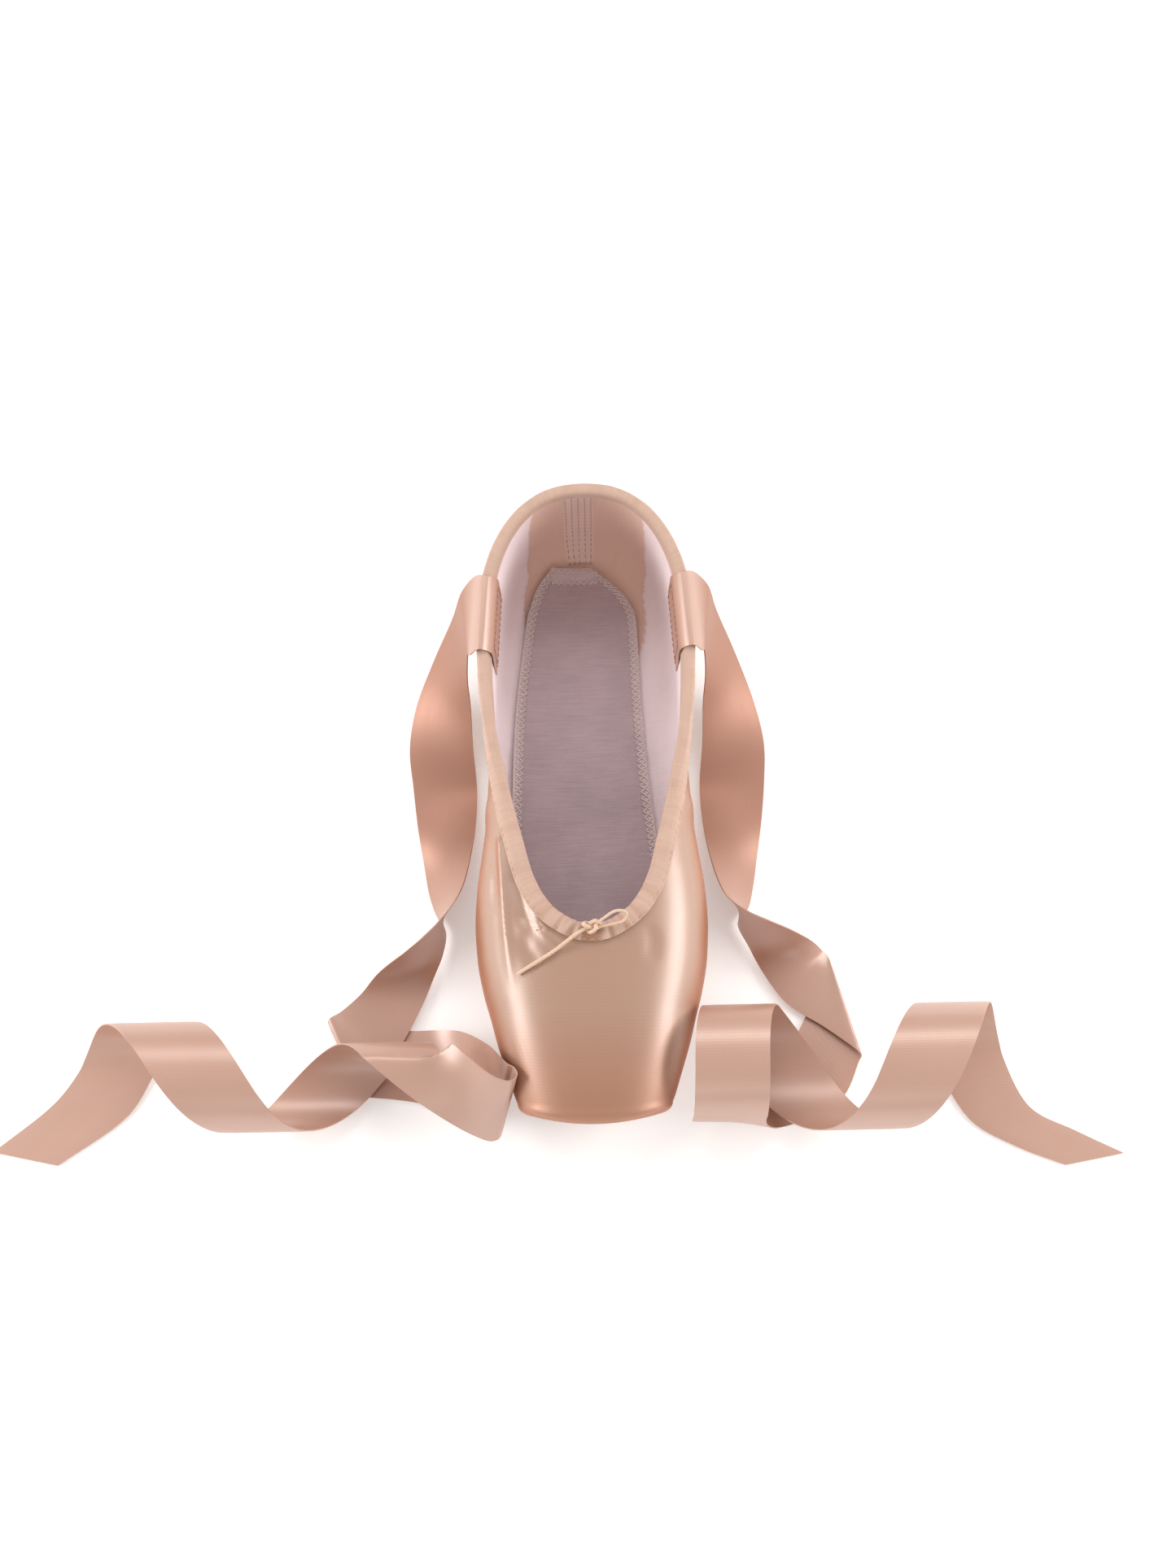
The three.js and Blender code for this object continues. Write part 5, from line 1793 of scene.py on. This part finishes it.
LEFT_END = rows_of(
    RibbonRow,
    (0.1876, -0.0976, 0.00075, 0.1616, -0.1022, 0.00075),
    (0.2075, -0.1142, 0.00075, 0.1848, -0.1192, 0.00075),
)
RIGHT_END = rows_of(
    RibbonRow,
    (0.15, -0.106, 0.00075, 0.129, -0.11, 0.00075),
    (0.165, -0.1145, 0.00075, 0.144, -0.1194, 0.00075),
    (0.1805, -0.1224, 0.00075, 0.16, -0.126, 0.00075),
)


@dataclass
class Ribbon:
    """A satin ribbon, sewn inside a quarter, folded over the collar and curled on the floor."""

    last: Last
    binding: Binding
    side: Side
    fall: tuple[RibbonRow, ...]
    lay: tuple[RibbonRow, ...]
    curl: tuple[CurlRow, ...]
    end: tuple[RibbonRow, ...]
    width: float = 0.024
    thickness: float = 0.0006
    clear: float = 0.00055
    heel_side: float = 0.075
    toe_side: float = 0.048
    curl_step_deg: int = 15
    row_steps: int = 7
    columns: int = 9
    sewn_rows: float = 2.2
    # The falls take painted shade as well as a duller, rougher satin.
    shade_and_dull: float = 0.9
    shade_and_dull_rows: Pair = (5.0, 17.0)
    shade_and_dull_fade: float = 5.0
    lining_rows: tuple[Pair, ...] = ((0.019, 0.0002), (0.011, 0.0005))
    tape_rows: tuple[Pair, ...] = ((0.004, 0.0002), (0.0005, 0.0003))
    crest_clear: float = 0.0015
    outer_drop: float = 0.0005
    outer_clear: float = 0.002
    edge_share: float = 0.7
    nudge: float = 0.002
    sewn_from: float = 0.14
    sewn_inset: float = 0.09
    sewn_steps: tuple[int, int] = (12, 14)
    stitch_lift: float = 0.0001

    def collar_row(self, drop: float, out: Callable[[float], float], past: float = 0.0) -> RibbonRow:
        """A ruling at the collar.

        Args:
            drop: distance below the collar edge.
            out: distance from the outer skin, from the wall's thickness.
            past: distance on past the edge.

        Returns:
            The ruling's two edges.
        """
        ends = []
        for u in (self.heel_side, self.toe_side):
            point, normal = self.last.below_collar(u, drop)
            ends.extend(point + normal * out(self.last.wall(u)) + self.last.past_edge(u) * past)
        return RibbonRow(*ends)

    def rows(self) -> list[RibbonRow]:
        """Every ruling, from the sewn end to the cut end."""
        tape = self.binding.clear + self.binding.thickness + self.clear
        crest = self.binding.rise + self.binding.thickness + self.clear + self.crest_clear
        inside = [(drop, self.clear + more) for drop, more in self.lining_rows]
        inside += [(drop, tape + more) for drop, more in self.tape_rows]
        made = [self.collar_row(drop, lambda w, near=near: -w - near) for drop, near in inside]
        made.append(self.collar_row(0.0, lambda w: -w / 2, crest))
        made.append(self.collar_row(self.outer_drop, lambda w: tape + self.outer_clear))
        return made + [*self.fall, *self.lay, *self.curl_rows(), *self.end]

    def curl_rows(self) -> list[RibbonRow]:
        """Rulings along X on a cylinder whose middle, radius and lift follow the table."""
        turns = [r.turn for r in self.curl]
        o, y, r, lift, half = (Table(turns, [row[k] for row in self.curl]) for k in range(1, 6))
        made = []
        for turn in range(int(turns[0]), int(turns[-1]) + 1, self.curl_step_deg):
            a = math.radians(turn)
            at_y = y(turn) - r(turn) * math.cos(a)
            at_z = lift(turn) + r(turn) + r(turn) * math.sin(a)
            made.append(RibbonRow(o(turn) + half(turn), at_y, at_z, o(turn) - half(turn), at_y, at_z))
        return made

    def build(self, finishes: Finishes) -> list[bpy.types.Object]:
        """Makes the ribbon and the stitches of its sewn end."""
        rows = self.rows()
        sign = self.side.value
        edge_a = SmoothLine([(sign * r.ao, r.ay, r.az) for r in rows])
        edge_b = SmoothLine([(sign * r.bo, r.by, r.bz) for r in rows])
        count = (len(rows) - 1) * self.row_steps
        across = np.linspace(0.0, 1.0, self.columns)
        at_edge = (across == 0) | (across == 1)
        thick = self.thickness / 2 * np.where(at_edge, self.edge_share, 1.0)[:, None]
        front, back, middle = [], [], []
        for i in range(count + 1):
            t = i / count
            a, b, normal = self.ruling(edge_a, edge_b, t)
            line = a + (b - a) * across[:, None]
            front.append(line + normal * thick)
            back.append(line - normal * thick)
            middle.append((a + b) / 2)
        front, back = np.array(front), np.array(back)
        uv = arc_uv(front)
        place = np.linspace(0, len(rows) - 1, count + 1)
        marks = np.broadcast_to(self.shade_and_dullness(place)[:, None], front.shape[:2])
        weave = Weave()
        weave.grid(front, uv, 0, True, marks)
        weave.grid(back, uv, 1, False, marks)
        weave.grid(np.stack([front[:, 0], back[:, 0]], axis=1), uv[:, :2], 0, False, marks[:, :2])
        weave.grid(np.stack([front[:, -1], back[:, -1]], axis=1), uv[:, :2], 0, True, marks[:, :2])
        weave.grid(np.stack([front[0], back[0]], axis=0), uv[:2], 0, False, marks[:2])
        weave.grid(np.stack([front[-1], back[-1]], axis=0), uv[:2], 0, True, marks[-2:])
        name = f"ribbon_{self.side.name.lower()}"
        made = weave.piece(f"{name}_dressed", [finishes.ribbon, finishes.ribbon_back], sharp_deg=55)
        settle(made, "ribbon_satin", name)
        # Dark thread here also paints the shadow line at the ribbon's sewn end.
        sewing = Stitches(f"{name}_stitches", PLAIN_STITCH, finishes.tab_thread_and_shadow)
        run = self.sewn_box(edge_a, edge_b, len(rows) - 1)
        return [made, settle(sewing.build([run]), "ribbon_satin")]

    def shade_and_dullness(self, place: Point) -> Point:
        """How strongly each place among the rows, along its fall, takes painted shade and a duller, rougher
        satin.
        """
        start, end = self.shade_and_dull_rows
        return self.shade_and_dull * np.clip(place - start, 0, 1) * np.clip((end - place) / self.shade_and_dull_fade, 0, 1)

    def ruling(self, edge_a: SmoothLine, edge_b: SmoothLine, t: float) -> tuple[Point, Point, Point]:
        """Both edges and the normal at a share of the rows."""
        near, far = max(0.0, t - self.nudge), min(1.0, t + self.nudge)
        a, b = edge_a.at(t), edge_b.at(t)
        along = edge_a.at(far) + edge_b.at(far) - edge_a.at(near) - edge_b.at(near)
        return a, b, unit(np.cross(along, b - a))

    def sewn_box(self, edge_a: SmoothLine, edge_b: SmoothLine, spans: int) -> StitchRun:
        """The box of stitches that holds the ribbon inside the quarter."""
        low, high = self.sewn_from / spans, self.sewn_rows / spans
        near, far = self.sewn_inset, 1 - self.sewn_inset
        up_steps, over_steps = self.sewn_steps
        up = [(mix(low, high, k / up_steps), near) for k in range(up_steps)]
        over = [(high, mix(near, far, k / over_steps)) for k in range(over_steps)]
        down = [(mix(high, low, k / up_steps), far) for k in range(up_steps)]
        home = [(low, mix(far, near, k / over_steps)) for k in range(over_steps)]
        points, normals = [], []
        for t, share in up + over + down + home:
            a, b, normal = self.ruling(edge_a, edge_b, t)
            inward = normal if normal[0] * self.side.value < 0 else -normal
            points.append(a + (b - a) * share + inward * (self.thickness / 2 + self.stitch_lift))
            normals.append(inward)
        return StitchRun(np.array(points), np.array(normals), True)


TAIL = (
    (-0.0046, -0.0546, 0.0034),
    (-0.008, -0.0568, 0.0027),
    (-0.012, -0.0594, 0.0018),
    (-0.016, -0.0616, 0.0014),
    (-0.02, -0.0636, 0.0013),
    (-0.0248, -0.066, 0.0012),
)
LOOP = (
    (0.001, -0.0524, 0.0526),
    (0.004, -0.0506, 0.0546),
    (0.008, -0.0484, 0.0552),
    (0.0114, -0.0486, 0.0538),
    (0.0106, -0.0508, 0.0524),
    (0.006, -0.0522, 0.0524),
    (0.001, -0.053, 0.052),
)


@dataclass
class Drawstring:
    """The drawstring's knot at the throat, with its loop and free end."""

    last: Last
    radius: float = 0.00065
    lay_per_metre: float = 330.0
    knot_centre: Triple = (0.0, -0.0526, 0.0524)
    knot_half: Triple = (0.0030, 0.0020, 0.0013)
    tail_root: Triple = (0.0012, -0.0518, 0.0525)
    sides: int = 12
    ply_depth: float = 0.14
    knot_tight: float = 1.05
    loop_tight: float = 0.8
    knot_steps: int = 96
    loop_steps: int = 60
    tail_steps: int = 80

    def sweep(self, weave: Weave, path: Point, tight: float = 1.0, closed: bool = False) -> None:
        """Adds a twisted cord of two plies along a path.

        Args:
            weave: the mesh that takes it.
            path: points along the middle.
            tight: share of the cord's radius that is left where it is pulled tight.
            closed: joins the end to the start.
        """
        line = np.vstack([path, path[:1]]) if closed else path
        gaps = np.linalg.norm(np.diff(line, axis=0), axis=1)
        run = np.concatenate([[0.0], np.cumsum(gaps)])
        tangents = np.gradient(line, axis=0)
        side = unit(np.cross(tangents[0], np.array([0.0, 0.0, 1.0])))
        rings = []
        turns = round(self.lay_per_metre * run[-1]) / max(run[-1], TINY)
        for point, tangent, distance in zip(line, tangents, run):
            forward = unit(tangent)
            side = unit(side - forward * float(side @ forward))
            up = np.cross(forward, side)
            ring = []
            for k in range(self.sides):
                a = math.tau * k / self.sides
                plies = 1 - self.ply_depth * (1 - abs(math.cos(a - math.tau * turns * distance)))
                ring.append(point + (side * math.cos(a) + up * math.sin(a)) * self.radius * tight * plies)
            rings.append(ring)
        rows = np.array(rings)
        weave.grid(rows, None, 0, False, ring=True)
        if not closed:
            weave.cap(rows[0], 0, False)
            weave.cap(rows[-1], 0, True)

    def build(self, finishes: Finishes) -> list[bpy.types.Object]:
        """Makes the knot and the free end."""
        weave = Weave()
        turn = np.linspace(0, math.tau, self.knot_steps + 1)[:-1]
        bead = np.stack(
            [
                (np.sin(turn) + 2 * np.sin(2 * turn)) / 3,
                (np.cos(turn) - 2 * np.cos(2 * turn)) / 3,
                -np.sin(3 * turn),
            ],
            axis=1,
        )
        middle = bead * np.array(self.knot_half) + np.array(self.knot_centre)
        self.sweep(weave, middle, self.knot_tight, True)
        self.sweep(weave, SmoothLine(LOOP).sample(self.loop_steps), self.loop_tight)
        knot = weave.piece("knot_dressed", [finishes.cord], sharp_deg=80)
        points = [self.tail_root, *((x, y, self.last.height(x, y) + up) for x, y, up in TAIL)]
        path = SmoothLine(points).sample(self.tail_steps)
        weave = Weave()
        self.sweep(weave, path)
        tail = weave.piece("drawstring_end", [finishes.cord], sharp_deg=80)
        settle(knot, "drawstring", "drawstring_knot")
        settle(tail, "drawstring", "drawstring_tail")
        return [knot, tail]


@dataclass(frozen=True)
class SoftBox:
    """A soft studio light."""

    name: str
    place: Triple
    aim: Triple
    size: Pair
    watts: float
    colour: Colour = (1.0, 1.0, 1.0)

    def build(self) -> bpy.types.Object:
        """Makes the light."""
        lamp = bpy.data.lights.new(self.name, "AREA")
        lamp.shape = "RECTANGLE"
        lamp.size, lamp.size_y = self.size
        lamp.energy = self.watts
        lamp.color = self.colour
        made = bpy.data.objects.new(self.name, lamp)
        made.location = self.place
        made.rotation_euler = (Vector(self.aim) - Vector(self.place)).to_track_quat("-Z", "Y").to_euler()
        bpy.context.scene.collection.objects.link(made)
        return made


@dataclass
class Studio:
    """The floor, the lights and the camera."""

    eye: Triple = (0.0, -0.2052, 0.5888)
    elevation_deg: float = 70.0
    roll_deg: float = -1.2
    focal_px: float = 2080.0
    axis_px: Pair = (724.0, 988.0)
    floor_half: float = 4.0
    floor_z: float = -0.0002
    sky: Colour = (1.0, 0.985, 0.97)
    sky_strength: float = 0.48
    boxes: tuple[SoftBox, ...] = (
        SoftBox("left_box", (-0.95, -0.05, 0.46), (0.0, -0.03, 0.03), (0.9, 0.34), 7.5),
        SoftBox("right_box", (0.95, -0.05, 0.46), (0.0, -0.03, 0.03), (0.9, 0.34), 7.5),
        SoftBox("back_box", (0.0, 0.80, 1.15), (0.0, 0.0, 0.02), (1.6, 0.4), 7.0),
        SoftBox("front_fill", (0.0, -1.30, 0.55), (0.0, 0.0, 0.02), (1.2, 0.5), 1.5),
    )

    def build(self) -> bpy.types.Object:
        """Makes the stage and returns the camera."""
        mesh = bpy.data.meshes.new("floor")
        h = self.floor_half
        corners = [(-h, -h, self.floor_z), (h, -h, self.floor_z), (h, h, self.floor_z), (-h, h, self.floor_z)]
        mesh.from_pydata(corners, [], [(0, 1, 2, 3)])
        mesh.materials.append(PaleFloor("pale_floor", (0.90, 0.90, 0.90)).material())
        floor = bpy.data.objects.new("floor", mesh)
        bpy.context.scene.collection.objects.link(floor)
        for box in self.boxes:
            box.build()
        world = bpy.data.worlds.new("studio")
        world.use_nodes = True
        sky = world.node_tree.nodes["Background"]
        sky.inputs["Color"].default_value = (*self.sky, 1.0)
        sky.inputs["Strength"].default_value = self.sky_strength
        bpy.context.scene.world = world
        bpy.context.scene.view_settings.view_transform = "Standard"
        return self.camera()

    def camera(self) -> bpy.types.Object:
        """Makes the camera, aimed so that the image's middle matches the photograph's."""
        e, roll = math.radians(self.elevation_deg), math.radians(self.roll_deg)
        forward = Vector((0.0, math.cos(e), -math.sin(e)))
        right, up = Vector((1.0, 0.0, 0.0)), Vector((0.0, math.sin(e), math.cos(e)))
        right, up = right * math.cos(roll) + up * math.sin(roll), up * math.cos(roll) - right * math.sin(roll)
        off_x = (IMAGE_SIZE[0] / 2 - self.axis_px[0]) / self.focal_px
        off_y = (self.axis_px[1] - IMAGE_SIZE[1] / 2) / self.focal_px
        forward = (forward + right * off_x + up * off_y).normalized()
        right = forward.cross(up).normalized()
        up = right.cross(forward)
        lens = bpy.data.cameras.new("camera")
        lens.sensor_width = 36.0
        lens.lens = self.focal_px * lens.sensor_width / max(IMAGE_SIZE)
        made = bpy.data.objects.new("camera", lens)
        turn = Matrix((right, up, -forward)).transposed()
        made.matrix_world = Matrix.Translation(self.eye) @ turn.to_4x4()
        bpy.context.scene.collection.objects.link(made)
        bpy.context.scene.camera = made
        return made


def main() -> None:
    """Builds the stage and every piece of the shoe."""
    logging.basicConfig(level=logging.INFO, format="%(name)s %(message)s")
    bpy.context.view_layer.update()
    Studio().build()
    last = Last()
    finishes = Finishes.make()
    Drawstring(last).build(finishes)
    binding = Binding(last)
    for side, fall, lay, curl, end in (
        (Side.LEFT, LEFT_FALL, LEFT_LAY, LEFT_CURL, LEFT_END),
        (Side.RIGHT, RIGHT_FALL, RIGHT_LAY, RIGHT_CURL, RIGHT_END),
    ):
        Ribbon(last, binding, side, fall, lay, curl, end).build(finishes)
    upper = Upper(last)
    upper.build(finishes)
    HeelTape(upper).build(finishes)
    binding.build(finishes)
    Outsole(last).build(finishes)
    Insole(last).build(finishes)


if __name__ == "__main__":
    main()
